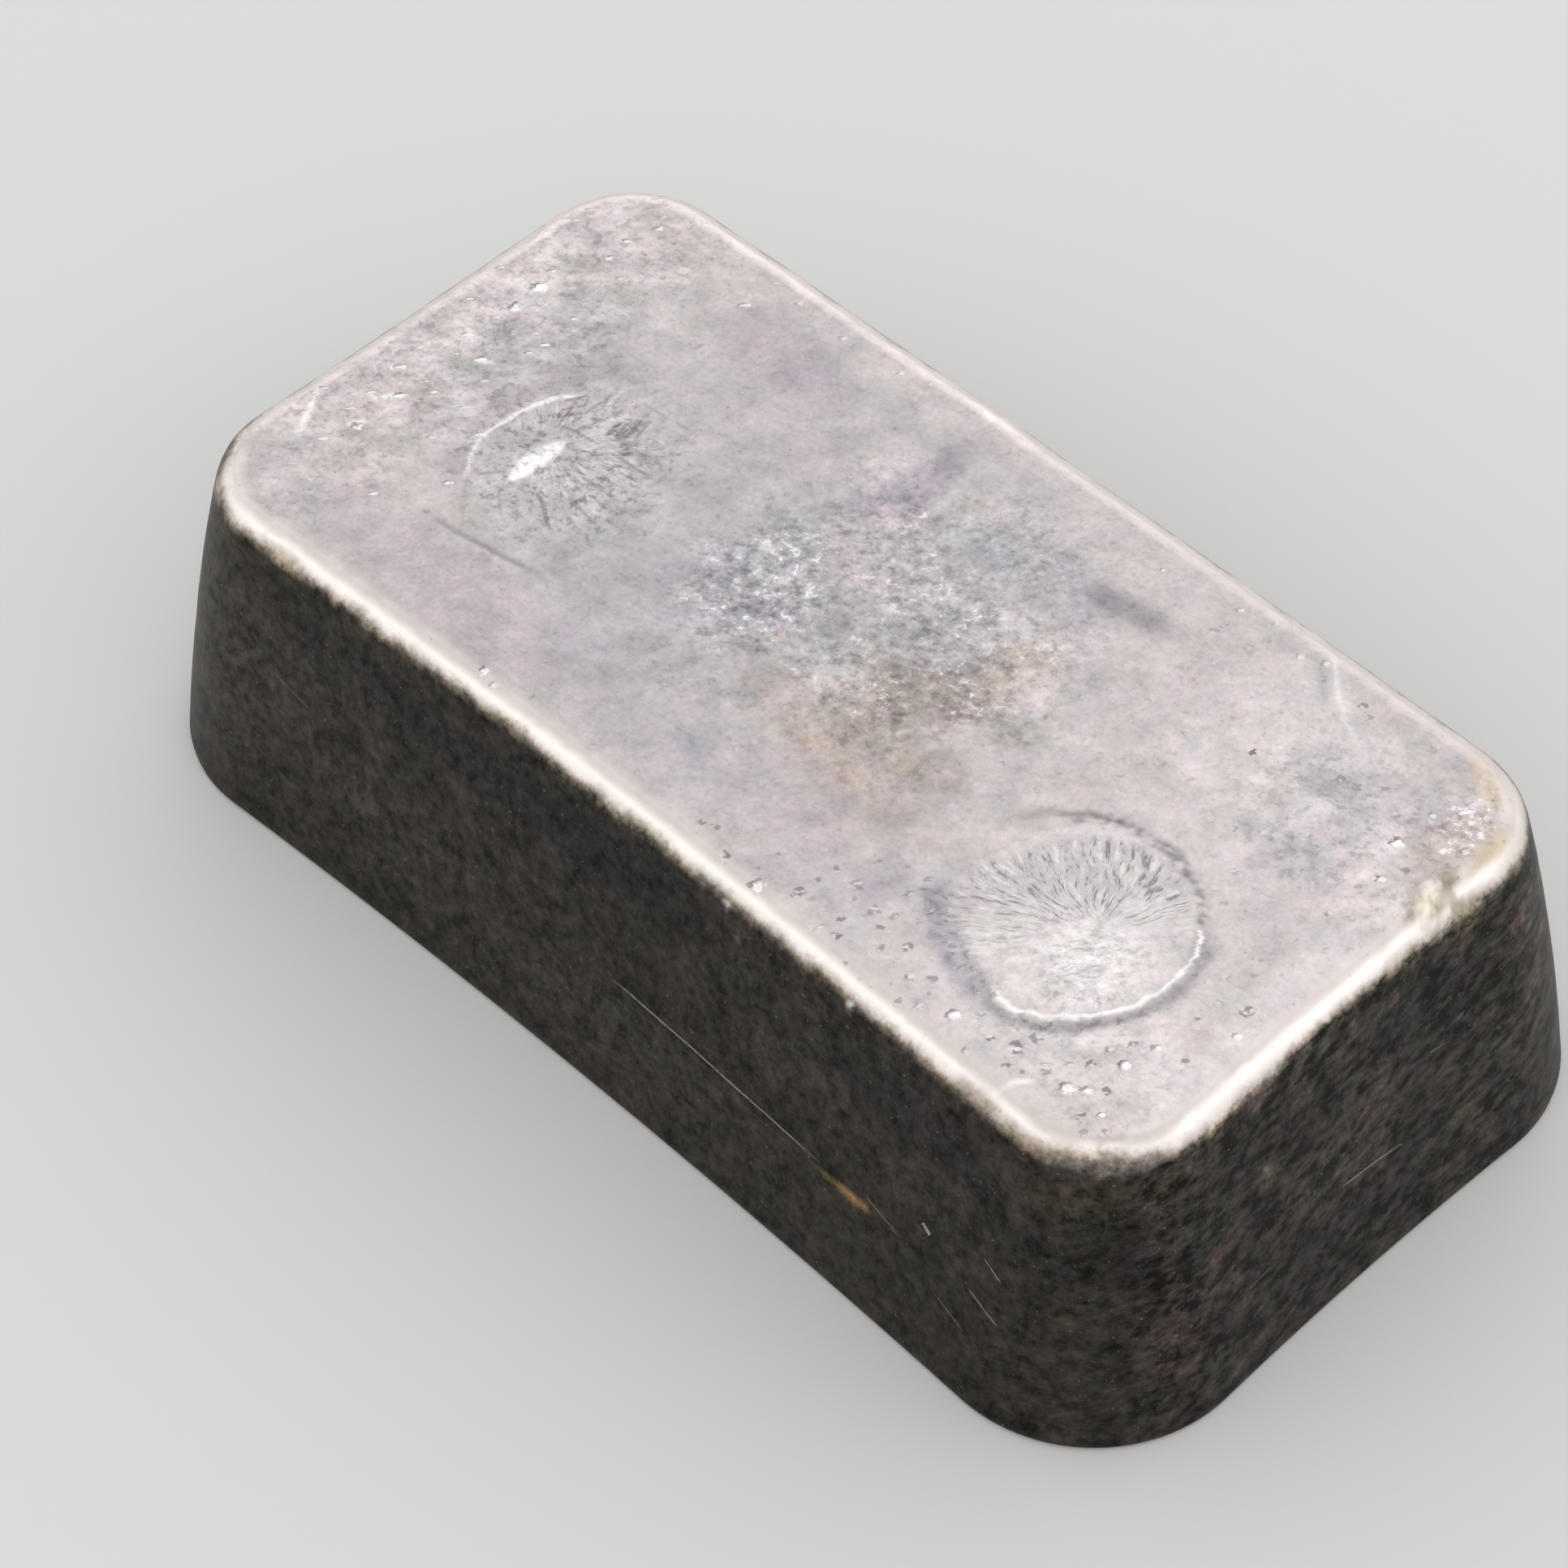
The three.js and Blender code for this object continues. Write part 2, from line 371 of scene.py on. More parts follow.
# The walls' dark tone: tarnish, and a painted dark reflection.
WALL_TARNISH_AND_DARK_REFLECTION = srgb(61, 57, 52)
WALL_BLUE = srgb(42, 43, 46)
# Paler tarnish on the walls, partly a painted reflection.
WALL_PALE_AND_SHEEN = srgb(80, 75, 67)
WALL_BROWN = srgb(84, 74, 64)
WALL_RED = srgb(84, 69, 66)
WALL_GOLD = srgb(176, 144, 96)
LUMP = srgb(238, 230, 213)
GLINT = srgb(150, 147, 142)
SCRATCH = srgb(190, 182, 168)


class Surface:
    """Points of the skin with what is laid on them. Relief is in millimetres, tone is a colour,
    and bared is how far a point lies above the line where the tarnish is worn off. The rest tell
    the material what to draw: kept is where a stain outlasts the wear, mottle is how far the tone
    wanders, flecks are bright specks, pores are soft hollows darkened with painted shade, and frost
    is crumbs and curled flakes with painted highlights. Strokes hold the turn, reach and strength
    of the fine lines that spread from a pour mark, line the offset, half width and strength of a
    scratch, and spots the place within a lump or a pit, in its radii, and its strength. A strength
    below 0 is dark."""

    LAYERS = {
        "relief": (), "tone": (3,), "roughness": (), "bared": (), "kept": (), "mottle": (),
        "flecks": (), "pores": (), "frost": (), "strokes": (3,), "line": (3,), "spots": (3,),
    }
    # Where there is no line and no spot, the offsets to them are this large.
    FAR = 9.0

    def __init__(self, points, normals):
        self.points = points
        self.normals = normals
        self.x, self.y, self.z = points.T
        self.up = normals[:, 2]
        for layer, width in self.LAYERS.items():
            setattr(self, layer, np.zeros((len(points), *width)))
        self.line[:, 0] = self.FAR
        self.line[:, 1] = LINE_HALF_WIDTH
        self.spots[:, :2] = self.FAR

    def tint(self, colour, weight):
        self.tone += (colour - self.tone) * weight[:, None]

    def shade(self, factor):
        self.tone *= factor[:, None]

    def part(self, chosen):
        """A surface of only the chosen points, for drawing that stays on them."""
        piece = Surface(self.points[chosen], self.normals[chosen])
        for layer in self.LAYERS:
            getattr(piece, layer)[:] = getattr(self, layer)[chosen]
        return piece

    def put_back(self, piece, chosen):
        for layer in self.LAYERS:
            getattr(self, layer)[chosen] = getattr(piece, layer)


# ---- Drawing on the surface ----

# The casting's flow runs this way across the face, and bright flecks lie along it.
FLOW_TURN = 47.0
FLOW = (*direction(math.radians(FLOW_TURN)), 0.0)
# The half width of a scratch, where it isn't given, in millimetres.
LINE_HALF_WIDTH = 0.08
# How often a pour mark's strokes change outwards from its hub, in each millimetre.
STROKE_RATE_OUTWARDS = 0.48
# How far the offset to a scratch is laid on each side of it, where the mesh is fine and where
# it is coarse.
FINE_SCRATCH_REACH = 0.3
WALL_SCRATCH_REACH = 1.0


def blob(x, y, centre, radii, turn=0.0):
    """How far points are from a centre: 0 there, and 1 on the ellipse with these radii."""
    along, across = direction(math.radians(turn)), direction(math.radians(turn + 90))
    dx, dy = x - centre[0], y - centre[1]
    return np.hypot(
        (dx * along[0] + dy * along[1]) / radii[0],
        (dx * across[0] + dy * across[1]) / radii[1],
    )


def strongest(x, y, blobs, ragged):
    """Each point's strength in the strongest of several blobs with ragged rims."""
    total = np.zeros(len(x))
    for centre, radii, turn, strength in blobs:
        reach = blob(x, y, centre, radii, turn) + ragged
        total = np.maximum(total, strength * (1 - smooth(0.5, 1.2, reach)))
    return total


def ellipsoid(points, centre, radii):
    return np.linalg.norm((points - centre) / radii, axis=1)


def follow(x, y, path):
    """Each point's distance from a path, positive on its left, and how far along it is (0-1)."""
    corners = np.array(path, dtype=float)
    steps = np.diff(corners, axis=0)
    lengths = np.hypot(*steps.T)
    travelled = np.cumsum(lengths) - lengths
    nearest = np.full(len(x), np.inf)
    signed = np.full(len(x), np.inf)
    along = np.zeros(len(x))
    for start, step, length, before in zip(corners, steps, lengths, travelled):
        dx, dy = x - start[0], y - start[1]
        share = np.clip((dx * step[0] + dy * step[1]) / length ** 2, 0, 1)
        distance = np.hypot(dx - share * step[0], dy - share * step[1])
        closer = distance < nearest
        nearest = np.where(closer, distance, nearest)
        side = np.where(step[0] * dy - step[1] * dx < 0, -1.0, 1.0)
        signed = np.where(closer, side * distance, signed)
        along = np.where(closer, (before + share * length) / lengths.sum(), along)
    return signed, along


def ridge(distance, width):
    """1 on a line and fading over its width."""
    return np.exp(-((distance / (width / 2)) ** 2))


def tapered(along, first, last):
    """1 along a line, falling to 0 over the first and the last share of it."""
    return smooth(0, first, along) * (1 - smooth(1 - last, 1, along))


def lay_strokes(face, where, around, outwards, strength):
    """Fine strokes for the material to draw, which change with around and with outwards."""
    strokes = np.stack([around, STROKE_RATE_OUTWARDS * outwards, strength], axis=1)
    face.strokes[where] = strokes[where]


def scratch(surface, across, up, reach, lines):
    """Fine lines for the material to draw: path, half width, strength. Reach is more than the
    mesh's cells, so that the offsets around a line stay even."""
    for path, half_width, strength in lines:
        offset, along = follow(across, up, path)
        near = (np.abs(offset) < reach) & (along > 0) & (along < 1)
        surface.line[near, 0] = offset[near]
        surface.line[near, 1] = half_width
        surface.line[near, 2] = strength * tapered(along[near], 0.12, 0.2)


# ---- The metal's own tones ----

# How far up a normal points where the tarnish ends, and where around the block it ends higher up,
# nearer to the face: towards, spread, by how much. Angles are in degrees from the right end.
WEAR_START = 0.46
WEAR_LATER = (
    (-48, 32, 0.28), (-148, 32, 0.30), (90, 36, 0.22), (180, 26, 0.14), (-90, 24, 0.04),
)
# How far up a normal points where stains begin to outlast the wear, and where the bright rim,
# worn metal with a painted highlight, ends.
KEPT = (0.79, 0.90)
RIM_END = (0.965, 1.0)


def lay_metal(surface):
    """Dull silver on the face and, on the walls, dark tarnish with a painted dark reflection. The
    material draws the bright worn metal between them, from where bared is 0 up to the face. Along
    the face's rim the tone is worn metal with a painted highlight."""
    points, up = surface.points, surface.up
    around = np.degrees(np.arctan2(surface.normals[:, 1], surface.normals[:, 0]))
    start = np.full(len(points), WEAR_START)
    for towards, spread, later in WEAR_LATER:
        away = (around - towards + 180) % 360 - 180
        start += later * np.exp(-((away / spread) ** 2))
    surface.bared[:] = up - start + 0.10 * fractal(points, 3.0, 4, 5)
    uneven = fractal(points, 2.4, 3, 6)
    surface.kept[:] = smooth(*KEPT, up + 0.04 * uneven - 0.2 * (start - WEAR_START))
    bare = smooth(0.0, 0.2, surface.bared)
    rim = bare * (1 - smooth(*RIM_END, up))
    # The walls' dark tone is tarnish and a painted dark reflection.
    surface.tone[:] = WALL_TARNISH_AND_DARK_REFLECTION
    surface.tint(SILVER, bare)
    # A painted highlight along the face's rim, over worn metal.
    surface.tint(RIM_WEAR_AND_HIGHLIGHT, rim * np.clip(0.85 + 0.30 * uneven, 0, 1))
    surface.roughness[:] = 0.50 - 0.16 * surface.kept
    tarnished = 1 - smooth(-0.12, 0.06, surface.bared)
    right = smooth(0.78, 0.95, surface.normals[:, 0])
    surface.mottle[:] = 0.22 - 0.16 * rim + (0.60 + 0.75 * right) * tarnished
    surface.pores[:] = 0.15 * tarnished


# ---- Stains on the face: centre, radii, turn, colour, strength ----

FACE_STAINS = (
    ((-10, 1), (24, 17), 0, COOL_GREY, 0.62),
    ((-8, -3), (10, 12), 0, COOL_GREY, 0.45),
    ((25, 9), (6.5, 8), 0, PALE, 0.42),
    ((34, 2), (9, 15), 0, PALE, 0.28),
    ((27, -7), (9, 9), 0, PALE, 0.3),
    ((32, -13), (10, 8), 20, PALE, 0.68),
    ((-33, 12), (7, 8), 0, SILVER, 0.6),
    ((-17, -15), (19, 4.4), 3, PINK_GREY, 0.75),
    ((6, -15.5), (15, 3.2), 0, PINK_GREY, 0.55),
    ((-15, 10), (9, 5), -10, PINK_GREY, 0.55),
    ((-20.5, 14), (7, 2.6), 0, MAUVE, 0.46),
    ((-12, -4), (4, 6), 0, PINK_GREY, 0.45),
    ((-6, -1), (6, 7), 0, COOL_GREY, 0.35),
    ((21, -17), (8, 2.4), 0, PALE, 0.35),
    ((-6, 10.5), (2.2, 5), -4, MAUVE, 0.58),
    ((-5.6, 15.2), (1.4, 1.8), 0, GROOVE_DARK_AND_SHADE, 0.4),
    ((-31.5, 4), (5, 9), -8, COOL_GREY, 0.48),
    ((-29, 3), (2.6, 1.6), 20, MAUVE, 0.2),
    ((-29.8, -2), (1.2, 3), -10, MAUVE, 0.3),
    ((-37.5, -2), (2.6, 15), 0, PALE, 0.45),
    ((-5, -1), (8, 7), 10, BLUE_GREY, 0.26),
    ((3.6, 4.4), (6, 4.5), -10, BLUE_GREY, 0.36),
    ((1, 3), (9, 7), 0, BROWN, 0.14),
    ((36.4, 7), (3, 8), 0, PALE, 0.3),
    ((-33, -7), (6, 8), 0, SILVER, 0.3),
    ((-12, -12), (5, 3), 0, COOL_GREY, 0.35),
    ((-1, 16), (5, 2.4), 0, COOL_GREY, 0.35),
    ((3, -8), (5, 3), 0, COOL_GREY, 0.25),
    ((27, 15), (6, 3), 0, PALE, 0.3),
    ((0, -14.5), (7, 3), 0, COOL_GREY, 0.26),
    ((-30.4, -6), (2.4, 5), 0, PALE, 0.2),
    ((18, -12), (2.4, 3.4), 0, PALE, 0.2),
    ((4.5, 12), (7, 3.4), -8, BLUE_GREY, 0.45),
    ((-4, 6), (3.6, 4), 20, PINK_GREY, 0.7),
    ((-6.6, -3.4), (4.6, 3.2), 0, MAUVE, 0.34),
    ((-3, 4.6), (3.6, 5), 0, PINK_GREY, 0.5),
    ((7.2, -1), (6.6, 3.8), 35, BROWN, 0.8),
    ((7.6, -4.6), (5.4, 2.6), 0, BROWN, 0.45),
    ((12, 0.6), (4, 2), 20, BROWN, 0.3),
    ((12, -4.6), (3, 3), 0, BROWN, 0.45),
    ((2.6, 8), (5.6, 3), 12, COOL_GREY, 0.55),
    ((8, -8.6), (7.5, 5), 0, BROWN, 0.46),
    ((4, -12), (8, 2.6), 0, PINK_GREY, 0.6),
    ((3, -7), (8, 4), 0, TAN, 0.3),
    ((7.4, -8.4), (4.5, 1.4), -4, TAN, 0.42),
    ((10.2, -5.6), (1.2, 2.4), 0, TAN, 0.4),
    ((12.5, -9), (2.8, 1.6), 0, BROWN, 0.35),
    ((10, 5), (2.4, 3), 10, TAN, 0.45),
    ((0.6, -13.6), (1.6, 1.1), 30, BLUE_GREY, 0.6),
    ((-0.6, -8.6), (1.4, 0.9), 0, BLUE_GREY, 0.45),
    ((-5, -14), (8, 3), 0, BLUE_GREY, 0.22),
    ((31.3, 12.4), (4, 2), 0, BLUE_GREY, 0.2),
    ((32, 5.6), (3.8, 1.9), 0, BLUE_GREY, 0.34),
    ((31.6, 8.8), (4, 4), 0, COOL_GREY, 0.3),
    ((35, 13.2), (2.5, 1.6), 0, MAUVE, 0.35),
    ((16, -13), (1.8, 3), 10, MAUVE, 0.3),
    ((38.9, 13.4), (2.4, 5), -20, TAN, 0.45),
    ((36.6, 18.2), (3.4, 1.3), -28, GOLD, 0.6),
    ((11.9, 13.5), (3.5, 1.2), 8, GROOVE_DARK_AND_SHADE, 0.3),
    ((-14, -7), (7, 3.4), 20, COOL_GREY, 0.3),
    ((35, 1), (5, 4), 0, PINK_GREY, 0.3),
    ((39, -4), (1.8, 15), 0, PALE, 0.7),
)


# Where the face is bumpier and its tone wanders more than elsewhere, partly as painted highlight
# on the bumps and painted shade between them: centre, radii, turn, strength.
WORKED = (
    ((1, 1), (15, 14), 0, 0.22),
    ((-24, -3), (10, 9), 0, 0.22),
    ((-36, 2), (9, 22), 0, 0.46),
    ((39, 13), (6, 9), 0, 0.36),
    ((34, -14), (7, 6), 0, 0.2),
    ((31.6, 9.4), (7, 6), 0, 0.34),
)


def stain_face(face):
    points, x, y = face.points, face.x, face.y
    level = smooth(0.90, 0.99, face.up)
    ragged = 0.32 * fractal(points, 4.5, 5, 21)
    for centre, radii, turn, colour, strength in FACE_STAINS:
        reach = blob(x, y, centre, radii, turn) + ragged
        face.tint(colour, level * strength * (1 - smooth(0.45, 1.15, reach)))
    face.relief += level * 0.025 * fractal(points, 7.0, 2, 33)
    face.relief += level * 0.004 * fractal(points, 1.3, 2, 34)
    worked = strongest(x, y, WORKED, ragged)
    flow = np.array(FLOW)
    drawn_out = points - 0.4 * (points @ flow)[:, None] * flow
    uneven = fractal(drawn_out, 1.9, 3, 35)
    # The tone wanders at random, and where the face is worked it is also lighter on the bumps that
    # the same noise raises and darker between them: painted highlight and painted shade.
    face.shade(np.exp(level * (0.10 + 0.45 * worked) * uneven))
    face.relief += level * 0.10 * worked * uneven
    face.mottle += level * 0.15 * worked
    face.pores += level * (0.30 + 1.2 * worked)
    face.frost += level * 0.8 * worked


# ---- The raised pour mark, near the right end ----

PAD_CENTRE = (26.7, -7.2)
PAD_RADII = (7.4, 8.1)
PAD_RISE = 0.18
PAD_HUB = (28.2, -7.6)
PAD_CRUMPLE = (28.9, -8.9)
# How often the strokes change around the hub, in each radian, and how far apart they are, in
# millimetres, where they lie across.
PAD_STROKE_RATE = 20.0
CROSSED_SPACING = 0.34
PAD_SMEAR = (
    (18.3, -10.2), (19.3, -12), (20.8, -13.1), (22.6, -14), (24.4, -14.7), (26.6, -15.2),
)
PAD_LIP = (
    (31.4, -3), (31.9, -2.8), (32.6, -3.2), (33.2, -4.3), (33.6, -6.2), (33.6, -8),
    (33.2, -9.6), (32.4, -11.4), (31.3, -12.9), (30, -14.1), (28.5, -14.9), (27, -14.9),
    (25.8, -14.2),
)


def cast_pad(face):
    points, x, y = face.points, face.x, face.y
    from_rim = (blob(x, y, PAD_CENTRE, PAD_RADII) - 1) * sum(PAD_RADII) / 2
    from_rim += 0.22 * noise(points, 1.8, 41)
    angle = np.arctan2(y - PAD_CENTRE[1], x - PAD_CENTRE[0])
    lower_right = (1 + np.cos(angle + math.radians(35))) / 2
    lower_left = ridge(angle + math.radians(135), 2.0)
    face.relief += PAD_RISE * (1 - smooth(-1.2, 0.2, from_rim)) * (0.5 + 0.5 * lower_right)

    darken_pad_rim(face, from_rim, np.degrees(angle))
    core = 1 - smooth(-1.5, -0.5, from_rim - 1.5 * lower_left)
    turn = stroke_pad(face, core)
    crumple_pad(face, core, lower_left, turn)
    line_pad(face)


def darken_pad_rim(face, from_rim, degrees):
    """A groove beyond the pad's far side, darkened with painted shade, and a dark smear at its
    lower left.
    """
    points = face.points
    from_groove = from_rim + 0.45 - 0.9 * smooth(95, 125, degrees)
    groove = ridge(from_groove, 0.85) * smooth(5, 35, degrees) * (1 - smooth(128, 150, degrees))
    groove *= 0.2 + 0.8 * smooth(-0.4, 0.4, noise(points, 0.6, 42))
    streaks = fractal(points, 1.1, 3, 48)
    from_smear, along = follow(face.x, face.y, PAD_SMEAR)
    smear = ridge(from_smear + 0.45 * streaks, 2.0) * tapered(along, 0.15, 0.1)
    face.relief -= 0.05 * groove
    # Painted shade in the groove.
    face.tint(PIT_DARK_AND_SHADE, 0.7 * groove)
    face.tint(MAUVE, 0.5 * smear)
    face.tint(BLUE_GREY, 0.68 * smear)
    face.tint(PIT_DARK_AND_SHADE, 0.45 * smear * smooth(0.0, 0.8, streaks))
    face.pores += 0.8 * groove + 0.8 * smear


def stroke_pad(face, core):
    """Strokes that spread from the hub, darkest ahead of it. Two stretches beside the lip are
    plain, and behind the hub the strokes lie across. Gives the angle from straight ahead."""
    points = face.points
    hub_x, hub_y = face.x - PAD_HUB[0], face.y - PAD_HUB[1]
    ahead, aside = (hub_y - hub_x) / math.sqrt(2), (hub_x + hub_y) / math.sqrt(2)
    from_hub = np.hypot(ahead, aside)
    turn = np.arctan2(aside, ahead + 2.6 * smooth(0.5, 4.5, ahead))
    plain = ridge(turn + 2.3, 0.8) + ridge(turn - 1.8, 0.8)
    strength = 0.72 + 0.28 * smooth(0.1, 0.8, np.cos(turn)) * smooth(1.2, 3.0, from_hub)
    turn += 0.30 * noise(points, 1.6, 50) * np.exp(-from_hub / 3)
    strength *= core * smooth(0.3, 1.3, from_hub) * (1 - plain * smooth(1.5, 3.0, from_hub))
    behind = blob(face.x, face.y, PAD_CRUMPLE, (3.6, 2.6), FLOW_TURN)
    behind += 0.15 * noise(points, 1.5, 43)
    strength *= smooth(1.0, 1.25, behind)
    lay_strokes(face, strength > 0, PAD_STROKE_RATE * turn, from_hub, strength)
    across = ahead / CROSSED_SPACING + 1.2 * noise(points, 1.4, 53)
    lay_strokes(face, behind < 1, across, aside, 0.75 * (1 - smooth(0.6, 1.0, behind)))
    return turn


def crumple_pad(face, core, lower_left, turn):
    """The pale crinkled metal behind the hub and beside it, with painted highlights on its
    crinkles.
    """
    bright = np.exp(-(blob(face.x, face.y, PAD_CRUMPLE, (3.8, 3.8)) ** 2))
    beside = 0.3 * np.exp(-(blob(face.x, face.y, (24.8, -11.2), (3.6, 1.9), FLOW_TURN) ** 2))
    bright = core * np.maximum(bright, beside)
    crinkle = 1 - 2.4 * np.abs(noise(face.points, 0.9, 45))
    face.relief += 0.02 * crinkle * bright
    face.tint(PALE, core * (0.40 + 0.4 * bright - 0.25 * lower_left))
    face.tint(COOL_GREY, 0.38 * core * smooth(0.1, 0.8, np.cos(turn)) * (1 - bright))
    # Painted highlights on the crinkles' crests.
    face.tint(SPARKLE, 0.55 * bright * smooth(-0.1, 1.0, crinkle))
    face.frost += 0.9 * bright
    face.pores += 0.5 * bright
    face.flecks += 0.6 * bright


def line_pad(face):
    """The lip around the pad with a painted highlight, and a moat outside it with painted shade."""
    points = face.points
    wander = 0.18 * noise(points, 1.3, 46) + 0.07 * noise(points, 0.5, 47)
    from_lip, along = follow(face.x, face.y, PAD_LIP)
    lip = ridge(from_lip + wander, 0.24 + 0.08 * along + 0.08 * noise(points, 1.6, 49))
    lip *= tapered(along, 0.06, 0.08)
    moat = ridge(from_lip - 0.66 + 0.5 * wander, 0.95) * tapered(along, 0.14, 0.10)
    moat *= 0.75 + 0.25 * smooth(-0.5, 0.5, noise(points, 0.9, 44))
    face.relief += 0.12 * lip - 0.09 * moat
    # Painted shade in the moat.
    face.tint(GROOVE_DARK_AND_SHADE, 0.72 * moat)
    face.pores += 0.5 * moat
    # A painted highlight along the lip.
    face.tint(SPARKLE, smooth(0.2, 0.7, lip))
    face.roughness -= 0.08 * lip


# ---- The sunken pour mark, near the left end ----

DISH_MIDDLE = (-23.0, -2.5)
DISH_RADII = (8.0, 7.5)
DISH_LIP = (
    (-26.7, 2.7), (-27.5, 1.5), (-28.1, 0.6), (-28.5, -0.6), (-28.8, -2.2), (-28.9, -3.8),
    (-28.7, -5.4), (-28, -6.8), (-26.8, -8.3), (-25, -9.3),
)
DISH_CRESCENT = ((-24.7, -1.1), (-24.85, -2.5), (-24.95, -3.8), (-24.9, -5.2), (-24.5, -6.6))
DISH_HUB = (-25.4, -2.8)
# How often the strokes of the fan change around the hub, in each radian.
DISH_STROKE_RATE = 11.0
# The strokes that stand out: path, half width, strength.
DISH_STROKES = (
    (((-27.5, 0.9), (-26.6, 2.6)), 0.14, -0.48),
    (((-27.1, 0.2), (-26, 2)), 0.14, -0.53),
    (((-26.8, -0.4), (-25.6, 1.5)), 0.12, -0.43),
    (((-23.2, 0.6), (-23.4, 2.5)), 0.18, -0.58),
    (((-22.7, 0.9), (-23.1, 3.1)), 0.15, -0.53),
    (((-22.1, 1.2), (-22.6, 3.6)), 0.17, -0.62),
    (((-21.7, 1.8), (-22.1, 3.8)), 0.14, -0.43),
    (((-26.6, -0.9), (-24.8, -0.3), (-22.6, -0.1), (-20.6, 0), (-17.6, 0.3)), 0.15, -0.43),
    (((-22.4, 0.9), (-20, 1.3), (-18.2, 1.5)), 0.14, -0.34),
    (((-24.3, -0.9), (-22.9, -0.5), (-21.8, 0.6)), 0.14, 0.43),
    (((-21.7, -2.8), (-19.3, -2.8)), 0.15, -0.38),
    (((-21.4, 2.6), (-18.6, 2.7)), 0.15, -0.29),
    (((-22.8, -5.8), (-21.7, -6.2), (-20.7, -6.9), (-19.5, -7.6)), 0.2, -0.58),
    (((-29.6, 3.4), (-27.8, 5)), 0.14, -0.3),
    (((-21.4, 0.2), (-19.4, 3)), 0.13, -0.34),
    (((-20, 0.9), (-18.4, 3.2)), 0.13, -0.3),
    (((-25.4, -5.8), (-26.8, -7.6)), 0.15, -0.34),
    (((-23.8, 4.4), (-19.4, 4.9)), 0.13, -0.26),
    (((-24.6, -7.4), (-22.6, -9)), 0.14, -0.3),
    (((-20.8, -4.6), (-18, -5.2)), 0.13, -0.3),
)


def cast_dish(face):
    """The dish's broken lip with a painted highlight, the hollow inside it, and the bright
    crescent.
    """
    points, x, y = face.points, face.x, face.y
    wander = 0.10 * noise(points, 1.0, 51)
    from_lip, along = follow(x, y, DISH_LIP)
    from_lip += wander
    broken = smooth(-0.9, -0.1, noise(points, 1.5, 54) + 1.6 * (0.55 - along))
    lip = ridge(from_lip, 0.44 - 0.18 * smooth(0.1, 0.45, along))
    lip *= tapered(along, 0.14, 0.3) * broken
    inner = smooth(-0.2, 1.0, from_lip) * (1 - smooth(1.5, 6.0, from_lip))
    inner *= tapered(along, 0.3, 0.3)
    face.relief += 0.06 * lip - 0.07 * inner
    face.tint(MAUVE, 0.25 * ridge(from_lip + 0.9, 2.0) * tapered(along, 0.2, 0.2))
    # A painted highlight along the lip.
    face.tint(SPARKLE, 0.75 * smooth(0.15, 0.9, lip))

    from_crescent, along = follow(x, y, DISH_CRESCENT)
    from_crescent += 0.8 * wander
    width = 1.30 * np.sqrt(np.clip(tapered(along, 0.5, 0.5), 0, 1)) + 0.1
    crescent = ridge(from_crescent, width) * tapered(along, 0.15, 0.15)
    hollow = smooth(-0.6, 0.6, from_crescent) * ridge(from_crescent, 4.0)
    face.relief -= 0.10 * hollow * tapered(along, 0.4, 0.4)
    face.tint(SPARKLE, 0.92 * smooth(0.0, 0.7, crescent + 0.18 * noise(points, 0.5, 52)))

    worked = 1 - smooth(0.5, 1.2, blob(x, y, DISH_MIDDLE, DISH_RADII) + wander)
    face.frost += 0.25 * worked
    face.pores += 0.75 * worked
    fan_dish(face, from_lip)


def fan_dish(face, from_lip):
    """Strokes that fan out from the hub, most of them towards the far right."""
    hub_x, hub_y = face.x - DISH_HUB[0], face.y - DISH_HUB[1]
    from_hub = np.hypot(hub_x, hub_y)
    turn = np.arctan2(hub_y, hub_x)
    fan = smooth(0.8, 2.2, from_hub) * (1 - smooth(5.0, 9.5, from_hub))
    fan *= (0.3 + 0.7 * smooth(-3, 1.5, hub_y + 0.6 * hub_x)) * smooth(-0.2, 0.5, from_lip)
    fan *= smooth(-5.5, -2.0, hub_x)
    lay_strokes(face, fan > 0, DISH_STROKE_RATE * turn, from_hub, 0.88 * fan)
    scratch(face, face.x, face.y, FINE_SCRATCH_REACH, DISH_STROKES)


# ---- The frosted patch in the middle ----

# Centre, radii, turn, strength.
FROST_BLOBS = (
    ((-6.5, -1.5), (5.5, 6.5), 10, 1),
    ((-3, 6.5), (4.5, 5.5), 0, 0.7),
    ((4, 4.5), (6, 5.5), -20, 0.75),
    ((3.5, -3), (6, 4.4), 0, 0.7),
    ((9, 3.5), (5, 8), 0, 0.64),
    ((8, -6.5), (6, 4), -10, 0.35),
    ((3, 12.5), (6.5, 3.6), -8, 0.56),
    ((-7, 9.5), (3, 4.5), 0, 0.4),
)


def frost_middle(face):
    points, x, y = face.points, face.x, face.y
    patch = strongest(x, y, FROST_BLOBS, 0.20 * fractal(points, 3.0, 3, 61))
    coarse = fractal(points, 2.2, 4, 62)
    face.relief += patch * 0.025 * coarse
    # Lighter on the raised crumbs and darker between them: painted highlight and painted shade.
    face.shade(np.exp(patch * 0.11 * coarse))
    face.frost += patch * (0.75 + 0.45 * noise(points, 2.2, 63))
    face.pores += patch * 0.62
    face.mottle += patch * 0.20


# ---- Scratches on the face: path, width, relief, colour, strength ----

